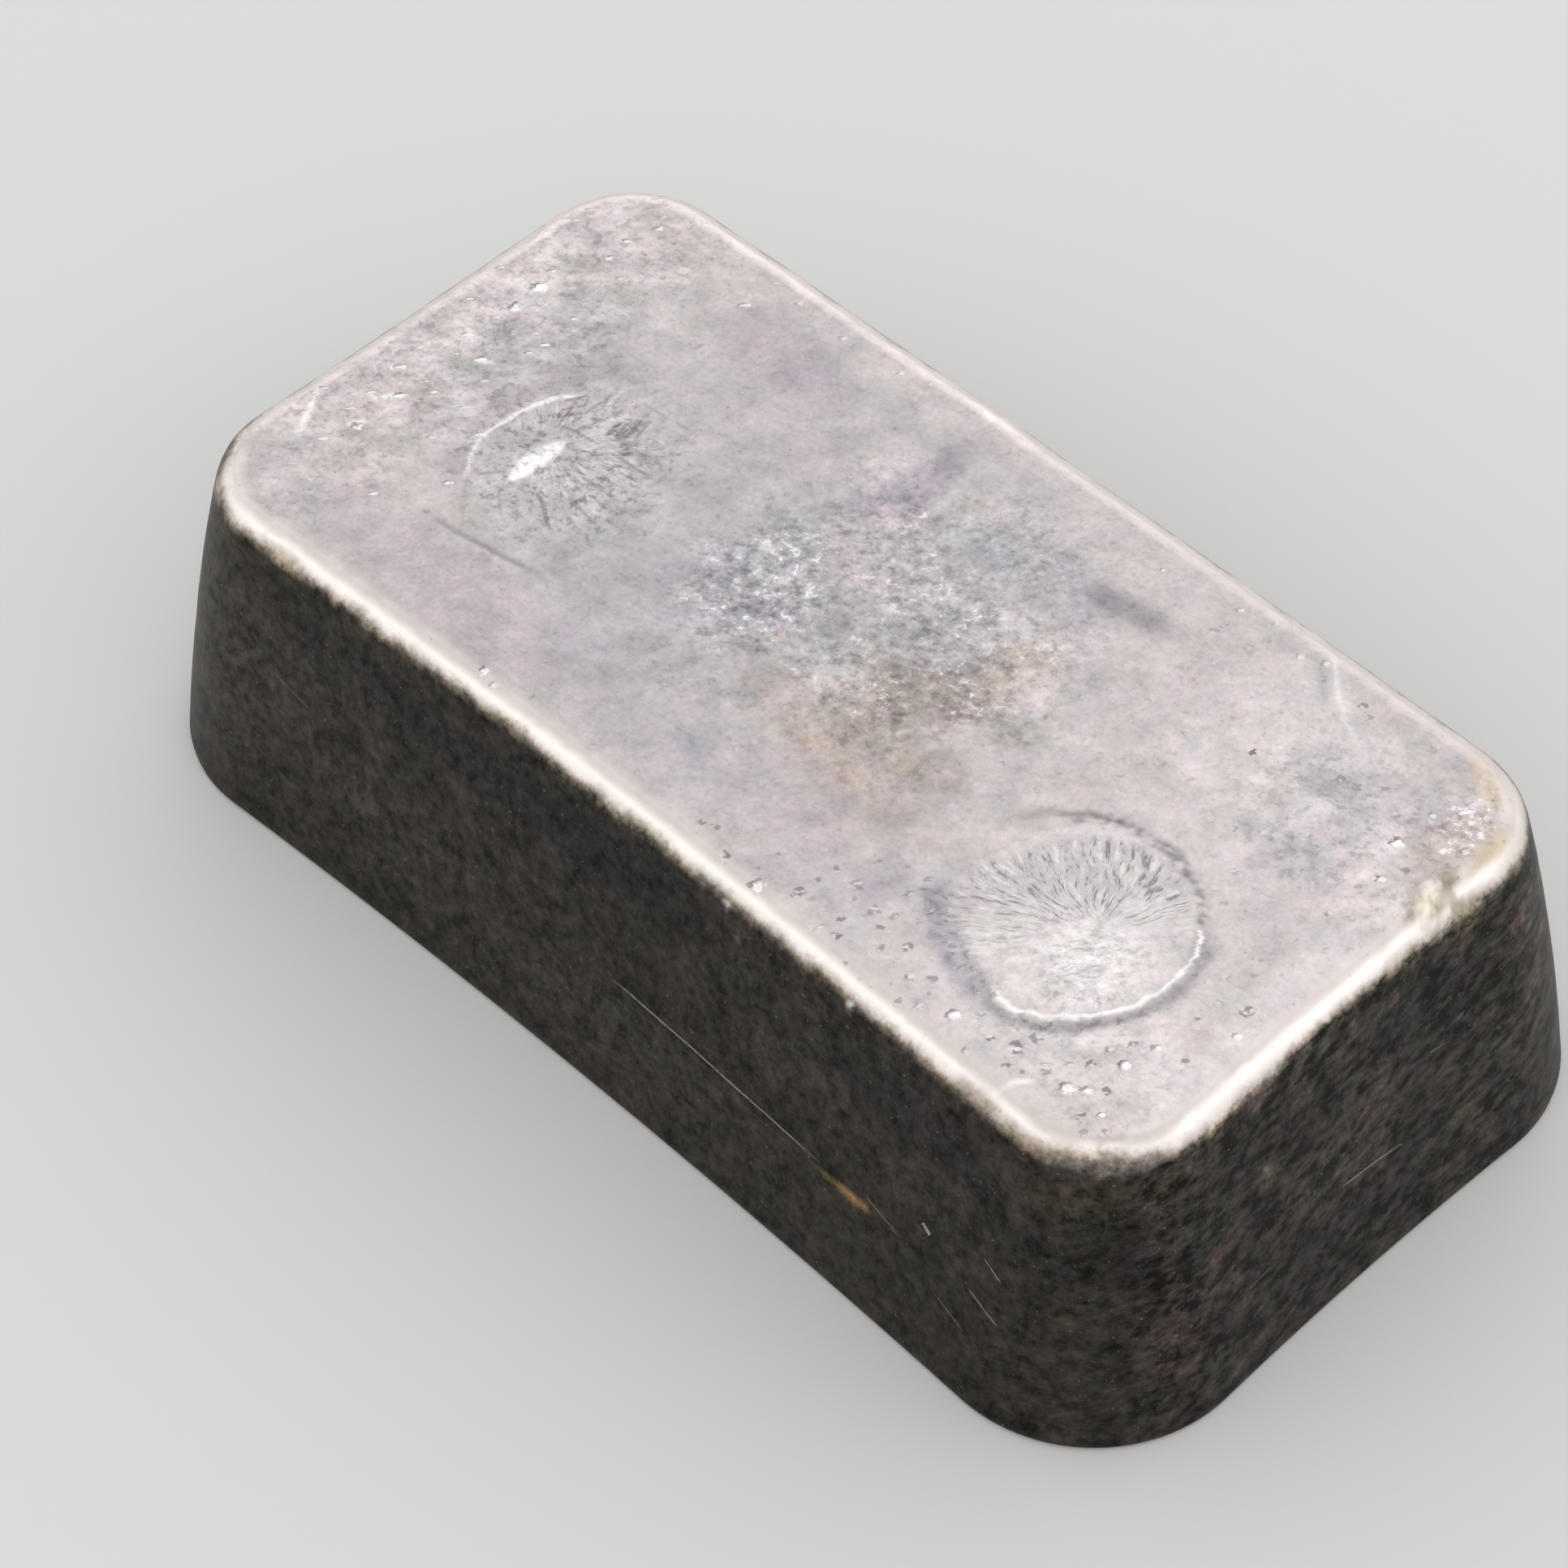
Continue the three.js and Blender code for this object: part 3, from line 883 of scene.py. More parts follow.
SCRATCHES = (
    (((-39.8, -9.2), (-38.8, -11), (-37.4, -13.4)), 0.5, 0.03, SPARKLE, 0.7),
    # A shallow groove, greyed as the painted shadow of the bright scratch that follows.
    (((22.6, 18.6), (24.2, 17), (25.8, 15.8)), 0.6, -0.03, COOL_GREY, 0.6),
    (
        ((22.6, 19.8), (25, 17.5), (26.4, 16.3), (28.1, 15.2), (30.4, 14.5)),
        0.42, 0.03, SPARKLE, 0.36,
    ),
    (((7.4, 12.8), (11, 13.2), (15, 13.8)), 2.1, -0.02, GROOVE_DARK_AND_SHADE, 0.55),
    (((31.7, -20), (32, -18.9), (32.9, -17.7)), 0.35, 0.03, SPARKLE, 0.8),
    (((-36.5, -7.9), (-35.9, -6.8), (-35.3, -5.9)), 0.4, 0.04, SPARKLE, 0.7),
    (((-35.9, -10.6), (-35.3, -9.2)), 0.4, 0.04, SPARKLE, 0.55),
    (((-34.4, -0.7), (-33.2, 0.3)), 0.36, 0.04, SPARKLE, 0.65),
    (((-26.6, -12.2), (-23.8, -11.8), (-20.1, -11.2), (-16.6, -10.5)), 0.46, -0.03, GROOVE_DARK_AND_SHADE, 0.62),
    (((29.6, 5.2), (31, 5.8), (32.4, 5.6)), 0.32, -0.03, GROOVE_DARK_AND_SHADE, 0.45),
    (((32, 6.3), (33.2, 6), (34, 5)), 0.3, -0.03, GROOVE_DARK_AND_SHADE, 0.4),
    (((25.6, 0.8), (27, 0.9), (28.4, 0.5)), 0.4, -0.03, GROOVE_DARK_AND_SHADE, 0.6),
    (((26.4, 0.4), (27.6, 0.5)), 0.3, -0.02, GROOVE_DARK_AND_SHADE, 0.5),
    (((19.6, -2.2), (21, -0.7), (22.2, 0)), 0.5, -0.03, PIT_DARK_AND_SHADE, 0.55),
    (((18, -4.4), (19, -2.6), (20.2, -1.2)), 0.8, -0.02, BROWN, 0.6),
    (((27, 9.8), (27.8, 8.6), (28.6, 6.8)), 0.3, -0.02, GROOVE_DARK_AND_SHADE, 0.3),
    (((-6.4, 16), (-6.2, 15), (-5.4, 14.2)), 0.3, -0.03, GROOVE_DARK_AND_SHADE, 0.45),
    (((13.6, -17.6), (14.8, -16.2)), 0.4, -0.03, MAUVE, 0.5),
    (((15.2, -15.4), (16.4, -13), (16.9, -11.2)), 0.7, -0.03, MAUVE, 0.5),
)


def scratch_face(face):
    for path, width, height, colour, strength in SCRATCHES:
        distance, along = follow(face.x, face.y, path)
        line = ridge(distance, width) * tapered(along, 0.2, 0.25)
        face.relief += height * line
        face.tint(colour, strength * line)


# ---- Lumps and pits ----

# A lump with a painted highlight and painted shade on one side if the strength is above 0, a pit
# with painted shade and a few painted highlights if it is below: place, radius, strength.
SPOTS = (
    ((24.8, 9.9), 0.34, -0.95),
    ((35.9, 10.6), 0.52, 1), ((37.1, 7.8), 0.34, 0.9), ((36, 13.7), 0.34, 0.5),
    ((37.2, 14.9), 0.34, -0.6), ((37.2, 16), 0.36, 0.5), ((38.4, 15.8), 0.3, 0.4),
    ((39.3, 12.9), 0.32, 0.6), ((27.2, 17.4), 0.28, -0.7), ((28.1, 17), 0.22, -0.6),
    ((23.9, 17.4), 0.3, -0.5), ((31.3, 12.2), 0.34, -0.5), ((30.1, 12), 0.36, -0.55),
    ((32.4, 13.3), 0.3, -0.5), ((36.7, 3.6), 0.3, -0.6), ((37.7, 9.3), 0.28, -0.5),
    ((22.3, -17.3), 0.34, -0.8), ((24.1, -18.5), 0.34, 0.6), ((26.1, -17.6), 0.46, 1),
    ((28.8, -17.3), 0.3, -0.8), ((30.4, -16.8), 0.5, -0.8), ((30.8, -15.5), 0.42, -0.7),
    ((32.7, -16.7), 0.42, -0.6), ((34.5, -16.9), 0.55, 1), ((35.5, -16.1), 0.4, 0.8),
    ((36.4, -15.4), 0.28, -0.8), ((37.2, -15.8), 0.46, -0.8), ((35.8, -13.2), 0.42, 1),
    ((34.4, -13), 0.26, -0.8), ((35.1, -11.7), 0.26, -0.7), ((36.3, -11), 0.34, 0.8),
    ((38.2, -10.5), 0.22, -0.7), ((35.6, -4.3), 0.26, -0.5), ((38.2, -5.3), 0.46, -0.8),
    ((39, -7.1), 0.36, 0.7), ((36.5, -7.7), 0.24, -0.7), ((28.4, -19), 0.28, -0.6),
    ((7.7, -18.5), 0.4, -0.8), ((10.7, -18.8), 0.62, 1), ((13, -17.4), 0.45, -0.7),
    ((13.4, -14.5), 0.28, -0.6), ((13.1, -15.8), 0.22, -0.5), ((15.1, -14.5), 0.45, -0.5),
    ((17.1, -15.2), 0.45, -0.5), ((18.3, -15.8), 0.28, -0.7), ((16.3, -17.1), 0.24, -0.7),
    ((17, -18.2), 0.3, -0.8), ((20.6, -15.8), 0.36, -0.7), ((4.9, -17.7), 0.26, -0.7),
    ((5.9, -17.3), 0.2, -0.6), ((-13.8, -18.6), 0.4, 1), ((-12.6, -18.9), 0.24, 0.6),
    ((-36.4, 7), 0.6, 1), ((-36.2, 4.6), 0.48, 1), ((-32.2, 3.6), 0.26, 1),
    ((-34.2, -0.3), 0.44, 0.9), ((-37.4, -4.4), 0.4, 0.8), ((-35.4, -6.2), 0.45, 0.9),
    ((-35.3, -10), 0.44, 0.9), ((-36.1, -12.3), 0.36, 0.7), ((-30.1, -13.3), 0.3, 0.8),
    ((-27.4, -9.3), 0.3, 0.8), ((-35.4, 14.2), 0.3, 0.9), ((-35.1, 12.2), 0.4, 0.7),
    ((-34.8, 16.5), 0.4, 0.8), ((-35, 0.9), 0.4, -0.5), ((-34.8, 2.8), 0.45, -0.5),
    ((-25.4, 15.4), 0.42, 0.6),
)
# Groups of them: centre, spread, count, radius, strength.
SPOT_GROUPS = (
    ((33.5, -16), (3.4, 1.8), 18, 0.22, -0.7),
    ((16, -15), (3, 2.4), 16, 0.2, -0.6),
    ((25.5, -17.2), (4, 1), 10, 0.2, -0.6),
    ((31.5, 10.5), (3.4, 3.6), 22, 0.24, -0.45),
    ((32, 5), (4, 1.6), 10, 0.22, -0.4),
    ((37.5, 14), (1.8, 3), 8, 0.24, -0.4),
    ((36, -2), (2.6, 5), 12, 0.2, -0.5),
    ((-36.6, 0), (1.6, 8), 14, 0.24, 0.5),
    ((-32, -3), (3, 8), 8, 0.22, 0.35),
    ((-34, 0), (3, 9), 22, 0.26, -0.4),
    ((-22, 18.2), (9, 0.6), 12, 0.24, 0.5),
    ((-23, -3), (4, 4), 24, 0.22, -0.45),
    ((-7, -12), (8, 4), 26, 0.22, -0.3),
    ((13.5, 7), (5, 6), 26, 0.22, -0.35),
    ((18.5, 16), (3, 1.8), 10, 0.22, -0.5),
    ((18.4, 18), (4, 0.8), 6, 0.26, 0.7),
    ((0, 0), (26, 13), 60, 0.18, -0.35),
    ((-36, 1), (2.4, 8.5), 30, 0.27, 0.95),
    ((-33.5, -9), (2.6, 4), 9, 0.22, 0.75),
    ((31, -16.6), (4.5, 1.3), 20, 0.25, -0.8),
    ((34, -16.2), (2.2, 1), 5, 0.28, 0.85),
    ((15.5, -14.5), (3, 2.6), 14, 0.25, -0.7),
)
SPOT_SEED = 7
# Each spot in a group differs this much from the group's radius and strength.
SPOT_SIZES = (0.7, 1.4)
SPOT_STRENGTHS = (0.6, 1)
# Around a spot, at least this much is kept clear of the others, and 1.3 times its radius. The
# first is more than two of the mesh's cells.
SPOT_REACH = 0.48
SPOT_REACH_IN_RADII = 1.3
# How much longer than wide a spot is, along the flow. At the left end the small ones are dashes.
SPOT_STRETCH = (0.9, 1.25)
DASH_STRETCH = (1.5, 2.3)
DASHES_BELOW_X = -25.0
DASHES_BELOW_RADIUS = 0.46
# Where the material scatters fine flecks: centre, radii, how thickly.
FLECKED = (
    ((-8.5, 2), (2.6, 3.4), 0.55),
    ((-6, -3.9), (4, 2), 0.6),
    ((-1, -4.2), (2.6, 1.8), 0.4),
    ((4, -4.3), (3.4, 2), 0.35),
    ((1.5, 10), (3.6, 2), 0.25),
    ((8, 7.5), (3, 2), 0.25),
    ((-37, 0), (4, 17), 0.4),
    ((-33, 8), (6, 8), 0.12),
    ((38, 14.5), (2.6, 4), 0.75),
)


def place_spots(face):
    """Puts each spot on the face that isn't within reach of one before it."""
    random = np.random.default_rng(SPOT_SEED)
    spots = list(SPOTS)
    for centre, spread, count, size, strength in SPOT_GROUPS:
        for _ in range(count):
            place = random.normal(centre, spread)
            radius = size * random.uniform(*SPOT_SIZES)
            spots.append((place, radius, strength * random.uniform(*SPOT_STRENGTHS)))
    taken = []
    turn = math.radians(FLOW_TURN)
    for (x, y), radius, strength in spots:
        reach = max(SPOT_REACH, SPOT_REACH_IN_RADII * radius)
        if any(math.hypot(x - other[0], y - other[1]) < reach + other[2] for other in taken):
            continue
        taken.append((x, y, reach))
        dash = x < DASHES_BELOW_X and radius < DASHES_BELOW_RADIUS
        longer = random.uniform(*(DASH_STRETCH if dash else SPOT_STRETCH))
        offsets = np.stack([face.x - x, face.y - y], axis=1)
        near = np.hypot(*offsets.T) < reach
        face.spots[near, 0] = offsets[near] @ direction(turn) / (radius * longer)
        face.spots[near, 1] = offsets[near] @ direction(turn + math.pi / 2) / (radius / longer)
        face.spots[near, 2] = strength


def fleck_face(face):
    for centre, radii, share in FLECKED:
        face.flecks += share * (1 - smooth(0.3, 1.1, blob(face.x, face.y, centre, radii)))


# ---- Edges and walls ----

# On the rounded edge: place, radii, relief, colour, strength.
EDGE_SPOTS = (
    ((-7, 20.5, 24), (3, 1.4, 1.4), 0.12, WORN, 0.4),
    ((40.2, 8.9, 24.4), (1.8, 2.2, 0.8), -0.06, EDGE_BROWN, 0.8),
    ((39.8, 9.2, 24.5), (0.6, 0.9, 0.5), 0.14, LUMP, 1),
    ((40.4, 8, 24.4), (0.7, 0.6, 0.5), 0.16, LUMP, 1),
    ((41.2, 7.2, 24.2), (0.8, 0.6, 0.6), 0.16, LUMP, 1),
    ((40.5, 6.9, 24.5), (0.5, 0.4, 0.4), 0.1, EDGE_BROWN, 0.8),
    ((41.8, 8.5, 23.9), (0.6, 0.7, 0.5), 0.1, LUMP, 1),
    ((38.8, -18, 23.3), (3.4, 3.4, 0.9), 0, EDGE_GREY, 0.3),
    ((-39.4, -18.2, 23.2), (3, 3, 0.9), 0, EDGE_GREY, 0.2),
    ((41.8, 9.9, 23.9), (1, 1.5, 0.8), -0.1, EDGE_BROWN, 0.8),
    ((42, 11.2, 23.6), (1, 1.6, 1), -0.06, EDGE_BROWN, 0.5),
    ((41.9, 5.8, 23.4), (0.8, 0.9, 0.9), -0.1, EDGE_BROWN, 0.6),
    ((41.6, 4.2, 23.8), (0.8, 1, 0.8), 0.06, WORN, 0.4),
    ((30.4, -20.6, 23.6), (2.2, 0.7, 0.6), -0.14, EDGE_BROWN, 0.6),
    ((34, -20.2, 23.2), (2.4, 0.9, 0.6), -0.06, EDGE_BROWN, 0.4),
    ((-1.8, -20.5, 23.6), (0.8, 0.8, 0.8), -0.12, EDGE_BROWN, 0.8),
    ((2.9, -20.5, 23.7), (0.9, 0.6, 0.6), 0.08, GOLD, 0.8),
    ((9.5, -20.6, 23.2), (0.6, 0.6, 0.6), 0.08, WORN, 0.6),
    ((20.3, -20.9, 22.9), (0.55, 0.7, 0.55), 0.2, SPARKLE, 1),
    ((-30.5, -20.6, 23.4), (1.6, 0.8, 0.6), -0.06, GOLD, 0.5),
    ((-3, -20.7, 23.7), (2, 0.7, 0.5), -0.05, GOLD, 0.35),
    ((40.6, 14.6, 24), (1.2, 3, 0.8), 0, GOLD, 0.2),
    # A pale patch below the corner, partly a painted reflection.
    ((-39.5, -17, 22.8), (0.9, 0.9, 0.8), -0.1, WALL_PALE_AND_SHEEN, 0.6),
)

# On the walls, stains and pale patches that are partly painted reflections: place, radii, colour,
# strength.
WALL_STAINS_AND_SHEEN = (
    ((-3, -22, 19.3), (15, 5, 3), WALL_BLUE, 0.75),
    ((-20, -22, 19), (12, 5, 2.6), WALL_BLUE, 0.4),
    ((26, -22, 19), (10, 5, 3), WALL_BLUE, 0.45),
    ((-36, -22, 12), (8, 7, 8), WALL_PALE_AND_SHEEN, 0.5),
    ((5, -24, 5), (18, 5, 5), WALL_PALE_AND_SHEEN, 0.35),
    ((-18, -24, 8), (12, 5, 6), WALL_PALE_AND_SHEEN, 0.3),
    ((-41, -19, 11), (2, 4, 2.5), WALL_RED, 0.5),
    ((-43, -14, 3.5), (4, 6, 2.5), WALL_BROWN, 0.4),
    ((14, -22.5, 15), (4, 4, 2), WALL_RED, 0.4),
    ((22.3, -23.5, 8.8), (2.6, 3, 0.45), WALL_GOLD, 0.8),
    ((38, -19, 20.5), (7, 6, 2), WALL_BROWN, 0.5),
    ((38, -19, 16), (6, 6, 3), WALL_BLUE, 0.4),
    ((42, -15, 9), (5, 4.5, 6), WALL_RED, 0.5),
    ((44, 0, 12), (5, 26, 16), WALL_BLUE, 0.2),
    ((43, 6, 19), (5, 4.5, 3.5), WALL_BLUE, 0.55),
    ((43, -3, 21), (4, 9, 1.6), WALL_PALE_AND_SHEEN, 0.45),
    ((43.5, 0, 12), (4, 6, 5), WALL_PALE_AND_SHEEN, 0.4),
    ((44, 12, 8), (4, 5, 5), WALL_PALE_AND_SHEEN, 0.4),
    ((40, 17, 14), (6, 5, 7), WALL_BROWN, 0.35),
    ((-30, 22, 18), (14, 6, 4), WALL_BLUE, 0.5),
    ((8, 22, 10), (16, 6, 5), WALL_PALE_AND_SHEEN, 0.4),
    ((30, 22, 18), (8, 6, 4), WALL_BROWN, 0.35),
    ((-42, 5, 14), (6, 9, 6), WALL_PALE_AND_SHEEN, 0.35),
    ((-43, 12, 20), (6, 6, 3), WALL_BLUE, 0.5),
)

# Scratches on the near wall, along the length and up: path, half width, strength.
NEAR_WALL_SCRATCHES = (
    (((0.8, 10.4), (9, 10), (20.9, 9.35)), 0.07, 0.75),
    (((28.6, 11.6), (29.7, 11)), 0.16, 0.9),
    (((33.8, 13), (35.6, 12)), 0.07, 0.5),
    (((33, 9.7), (36, 8.4)), 0.06, 0.6),
    (((30.6, 6.9), (33.4, 5.9)), 0.06, 0.3),
    (((24, 9.9), (27.2, 8.9)), 0.06, 0.35),
    (((-31, 14.2), (-27, 13.2)), 0.05, 0.2),
)
# And on the right wall, across the width and up.
RIGHT_WALL_SCRATCHES = (
    (((-2.2, 9.5), (0.8, 9.2), (3.8, 8.7)), 0.07, 0.6),
    (((-11, 8), (-8.5, 8.1)), 0.06, 0.3),
    (((6, 14.4), (8, 14.1)), 0.06, 0.3),
)


def weather_edges(surface):
    points, up = surface.points, surface.up
    edge = smooth(0.25, 0.5, up) * (1 - 0.8 * smooth(0.95, 1.0, up))
    waves = 0.040 * fractal(points, 4.5, 2, 71) + 0.012 * fractal(points, 1.3, 2, 72)
    surface.relief += edge * (waves - 0.03)
    for place, radii, height, colour, strength in EDGE_SPOTS:
        reach = ellipsoid(points, place, radii) + 0.35 * fractal(points, 0.9, 3, 73)
        weight = np.exp(-np.maximum(reach, 0) ** 2)
        shown = smooth(0.15, 0.7, weight) * smooth(0.15, 0.3, up)
        surface.relief += height * weight
        surface.tint(colour, shown)
        surface.kept[:] = np.maximum(surface.kept, strength * shown)


def weather_walls_and_paint_sheen(surface):
    points = surface.points
    wall = 1 - smooth(0.25, 0.5, np.abs(surface.up))
    ragged = 0.22 * fractal(points, 4.0, 3, 81) + 0.16 * fractal(points, 1.2, 2, 87)
    # The pale patches among these are partly painted reflections.
    for place, radii, colour, strength in WALL_STAINS_AND_SHEEN:
        reach = ellipsoid(points, place, radii) + ragged
        surface.tint(colour, wall * strength * (1 - smooth(0.3, 1.2, reach)))
    mottle = 0.15 * fractal(points, 3.8, 3, 82) + 0.10 * fractal(points, 1.3, 2, 83)
    surface.shade(np.exp(wall * mottle))
    rough = 0.045 * fractal(points, 7.0, 2, 84) + 0.014 * fractal(points, 2.2, 2, 85)
    pits = -0.05 * smooth(0.6, 1.2, fractal(points, 1.4, 2, 86))
    surface.relief += wall * smooth(0.4, 3.0, surface.z) * (rough + pits - 0.04)


# How squarely a normal points the way that a wall or the face does, on the points that belong
# to it.
ON_WALL = 0.75
ON_FACE = 0.8
# No tone is darker or lighter than these levels of linear light.
DARKEST, LIGHTEST = 0.004, 0.98


def sink_face(face):
    """The face sinks a little towards its middle, as cooling metal does."""
    half_x = FACE_HALF_LENGTH - FACE_EDGE_RADIUS
    half_y = FACE_HALF_WIDTH - FACE_EDGE_RADIUS
    along = np.clip(1 - (face.x / half_x) ** 2, 0, 1)
    across = np.clip(1 - (face.y / half_y) ** 2, 0, 1)
    face.relief -= FACE_SINK * along * across


def dress(surface):
    """Lays everything on the whole skin, the face's own things on the face alone."""
    lay_metal(surface)
    weather_edges(surface)
    weather_walls_and_paint_sheen(surface)

    for chosen, axis, lines in (
        (surface.normals[:, 1] < -ON_WALL, 0, NEAR_WALL_SCRATCHES),
        (surface.normals[:, 0] > ON_WALL, 1, RIGHT_WALL_SCRATCHES),
    ):
        wall = surface.part(chosen)
        scratch(wall, wall.points[:, axis], wall.z, WALL_SCRATCH_REACH, lines)
        surface.put_back(wall, chosen)

    on_face = surface.up > ON_FACE
    face = surface.part(on_face)
    stain_face(face)
    frost_middle(face)
    cast_pad(face)
    cast_dish(face)
    scratch_face(face)
    place_spots(face)
    fleck_face(face)
    sink_face(face)
    surface.put_back(face, on_face)
    surface.tone[:] = np.clip(surface.tone, DARKEST, LIGHTEST)


# ---- Materials ----


def opaque(colour):
    return (*(float(part) for part in colour), 1.0)


class Term:
    """An output of a node. Sums and products of terms and numbers are terms too, and add the
    nodes that work them out. A wide term is a colour or a place."""

    def __init__(self, recipe, socket):
        self.recipe = recipe
        self.socket = socket
        self.wide = socket.type in ("RGBA", "VECTOR")

    def __add__(self, other):
        return self.recipe.combine("ADD", self, other)

    def __sub__(self, other):
        return self.recipe.combine("SUBTRACT", self, other)

    def __rsub__(self, other):
        return self.recipe.combine("SUBTRACT", other, self)

    def __mul__(self, other):
        return self.recipe.combine("MULTIPLY", self, other)

    def __truediv__(self, other):
        return self.recipe.combine("DIVIDE", self, other)

    def __neg__(self):
        return self * -1

    def __abs__(self):
        return self.recipe.combine("ABSOLUTE", self, 0)

    __radd__ = __add__
    __rmul__ = __mul__


class Recipe:
    """A short way to write the nodes of a material or a world."""

    def __init__(self, owner):
        owner.use_nodes = True
        self.tree = owner.node_tree

    def link(self, term, socket):
        self.tree.links.new(term.socket, socket)

    def term(self, kind, inputs, output, **settings):
        """Adds a node and gives one of its outputs. Its inputs are terms or plain values."""
        node = self.tree.nodes.new("ShaderNode" + kind)
        for name, value in settings.items():
            setattr(node, name, value)
        for name, value in inputs.items():
            if isinstance(value, Term):
                self.link(value, node.inputs[name])
            else:
                node.inputs[name].default_value = value
        return Term(self, node.outputs[output])

    def combine(self, operation, first, second):
        """Works out a sum or a product. A wide term is multiplied by a number as a whole, and a
        number that is added to it counts in all three of its parts."""
        pair = (first, second)
        wide = [value for value in pair if isinstance(value, Term) and value.wide]
        if not wide:
            return self.term("Math", dict(enumerate(pair)), "Value", operation=operation)
        if operation == "MULTIPLY" and len(wide) == 1:
            inputs = {0: wide[0], "Scale": second if wide[0] is first else first}
            return self.term("VectorMath", inputs, "Vector", operation="SCALE")
        pair = [value if isinstance(value, Term) else (value,) * 3 for value in pair]
        return self.term("VectorMath", dict(enumerate(pair)), "Vector", operation=operation)

    def larger(self, first, second):
        return self.combine("MAXIMUM", first, second)

    def ranged(self, value, low, high, start=0.0, end=1.0):
        """An easy curve from start, where the value is low, to end, where it is high."""
        inputs = {"Value": value, "From Min": low, "From Max": high, "To Min": start, "To Max": end}
        return self.term("MapRange", inputs, "Result", interpolation_type="SMOOTHSTEP")

    def part(self, place, axis):
        return self.term("SeparateXYZ", {0: place}, axis)

    def flat(self, x, y):
        """A place on a plane."""
        return self.term("CombineXYZ", {"X": x, "Y": y}, "Vector")


class Metal(Recipe):
    """Silver, bright where it is worn and dark where it is tarnished, with its tones from the
    skin and its fine grain from noise. The tones also hold a painted dark reflection on the walls
    and a painted highlight on the rim. Each step lays its marks on the colour and adds their
    relief, with painted highlights and painted shade on many of them. Lengths are in millimetres."""

    # The walls' grain is drawn out across the width.
    BRUSHING = (0.0, 1.0, 0.15)

    def __init__(self, material):
        super().__init__(material)
        self.place = self.term("TexCoord", {}, "Object") * (1 / MM)
        self.colour = self.attribute("tone", "Color")
        self.roughness = self.attribute("tone", "Alpha")
        self.bared, self.kept, self.mottle = self.layers("wear")
        self.flecks, self.pores, self.frost = self.layers("detail")
        self.wall = self.ranged(self.bared, 0.05, -0.15)

        self.cloud = self.noise(2.6, 4, rough=0.80)
        self.bend = self.noise(1.3, 1)
        self.grain = self.noise(0.36, 2, rough=0.65)
        self.crumb = self.noise(0.74, 4, self.stretched(FLOW, 1.2), 0.75)
        streak = self.noise(0.80, 3, self.stretched(self.BRUSHING, 2.0), 0.70)
        self.fine = self.grain + (streak - self.grain) * self.wall
        self.relief = self.fine * (0.003 + 0.010 * self.mottle)

    def attribute(self, name, output):
        return self.term("Attribute", {}, output, attribute_name=name)

    def layers(self, name):
        """The three numbers that one of the skin's attributes holds."""
        values = self.attribute(name, "Vector")
        return [self.part(values, axis) for axis in "XYZ"]

    def stretched(self, direction, ratio):
        """The place, drawn out along a direction."""
        unit = np.array(direction) / np.linalg.norm(direction)
        along = self.term("VectorMath", {0: self.place, 1: unit}, "Value", operation="DOT_PRODUCT")
        inputs = {0: unit, "Scale": along * (1 / ratio - 1)}
        return self.place + self.term("VectorMath", inputs, "Vector", operation="SCALE")

    def noise(self, size, detail, place=None, rough=0.55, output="Fac"):
        """Noise from 0 to 1 with features of about the given size."""
        inputs = {
            "Vector": place or self.place, "Scale": 1 / size, "Detail": detail, "Roughness": rough,
        }
        return self.term("TexNoise", inputs, output)

    def lay(self, colour, weight):
        """Turns the metal's colour into another one by a weight."""
        inputs = {0: weight, 6: self.colour, 7: opaque(colour)}
        self.colour = self.term("Mix", inputs, 2, data_type="RGBA")

    def wear_edges(self):
        """Bright metal where the tarnish is worn off, brown where that begins."""
        height = self.bared + 0.22 * (self.cloud + self.crumb - 1)
        shown = 1 - self.kept
        worn = self.ranged(height, -0.12, 0.18) * shown
        self.lay(EDGE_BROWN, self.ranged(height, -0.29, 0.02, 0, 0.80) * shown)
        self.lay(WORN, worn)
        self.roughness -= 0.20 * worn

    def wander(self):
        """Lets the tone wander in hue and depth."""
        hue = 0.4 * self.mottle * (self.noise(2.6, 2, rough=0.7, output="Color") - 0.5)
        depth = (self.fine - 0.5) * (1.6 + 2.2 * self.wall) + 2.8 * (self.cloud - 0.5)
        self.colour *= 1 + hue
        self.colour *= self.larger(1 + depth * self.mottle, 0.25)

    def crumble(self):
        """Painted shade in soft hollows, and painted highlights on peaks and curled flakes, in the
        frosted patch.
        """
        hollow = self.ranged(self.crumb, 0.49, 0.37) * self.pores
        peak = self.ranged(self.crumb, 0.52, 0.65) * self.frost
        coil = abs(self.noise(1.5, 2, self.stretched(FLOW, 1.3)) - 0.5)
        flake = self.ranged(coil, 0.036, 0.008) * self.ranged(self.crumb, 0.46, 0.58)
        flake *= self.ranged(self.frost, 0.35, 0.9) * self.ranged(self.cloud, 0.47, 0.56, 0.15, 1.0)
        # Painted shade in the hollows, and painted highlights on the peaks and flakes.
        self.colour *= 1 - 0.32 * hollow
        self.lay(SPARKLE, 0.36 * peak)
        self.lay(SPARKLE, 0.85 * flake)
        self.relief += 0.09 * self.crumb * self.frost

    def draw_strokes(self):
        """The fine lines that spread from the hubs of the pour marks."""
        turn, reach, strength = self.layers("strokes")
        stroke = self.noise(1.0, 3, self.flat(turn + 1.1 * self.bend, reach), 0.76)
        trough = self.ranged(stroke, 0.47, 0.36) * strength * strength
        crest = self.ranged(stroke, 0.53, 0.64) * strength
        # The troughs are darkened as dark strokes with painted shade, and the crests carry a
        # painted highlight.
        self.lay(PIT_DARK_AND_SHADE, 0.68 * trough)
        self.lay(SPARKLE, 0.42 * crest)
        self.relief += 0.012 * crest - 0.02 * trough

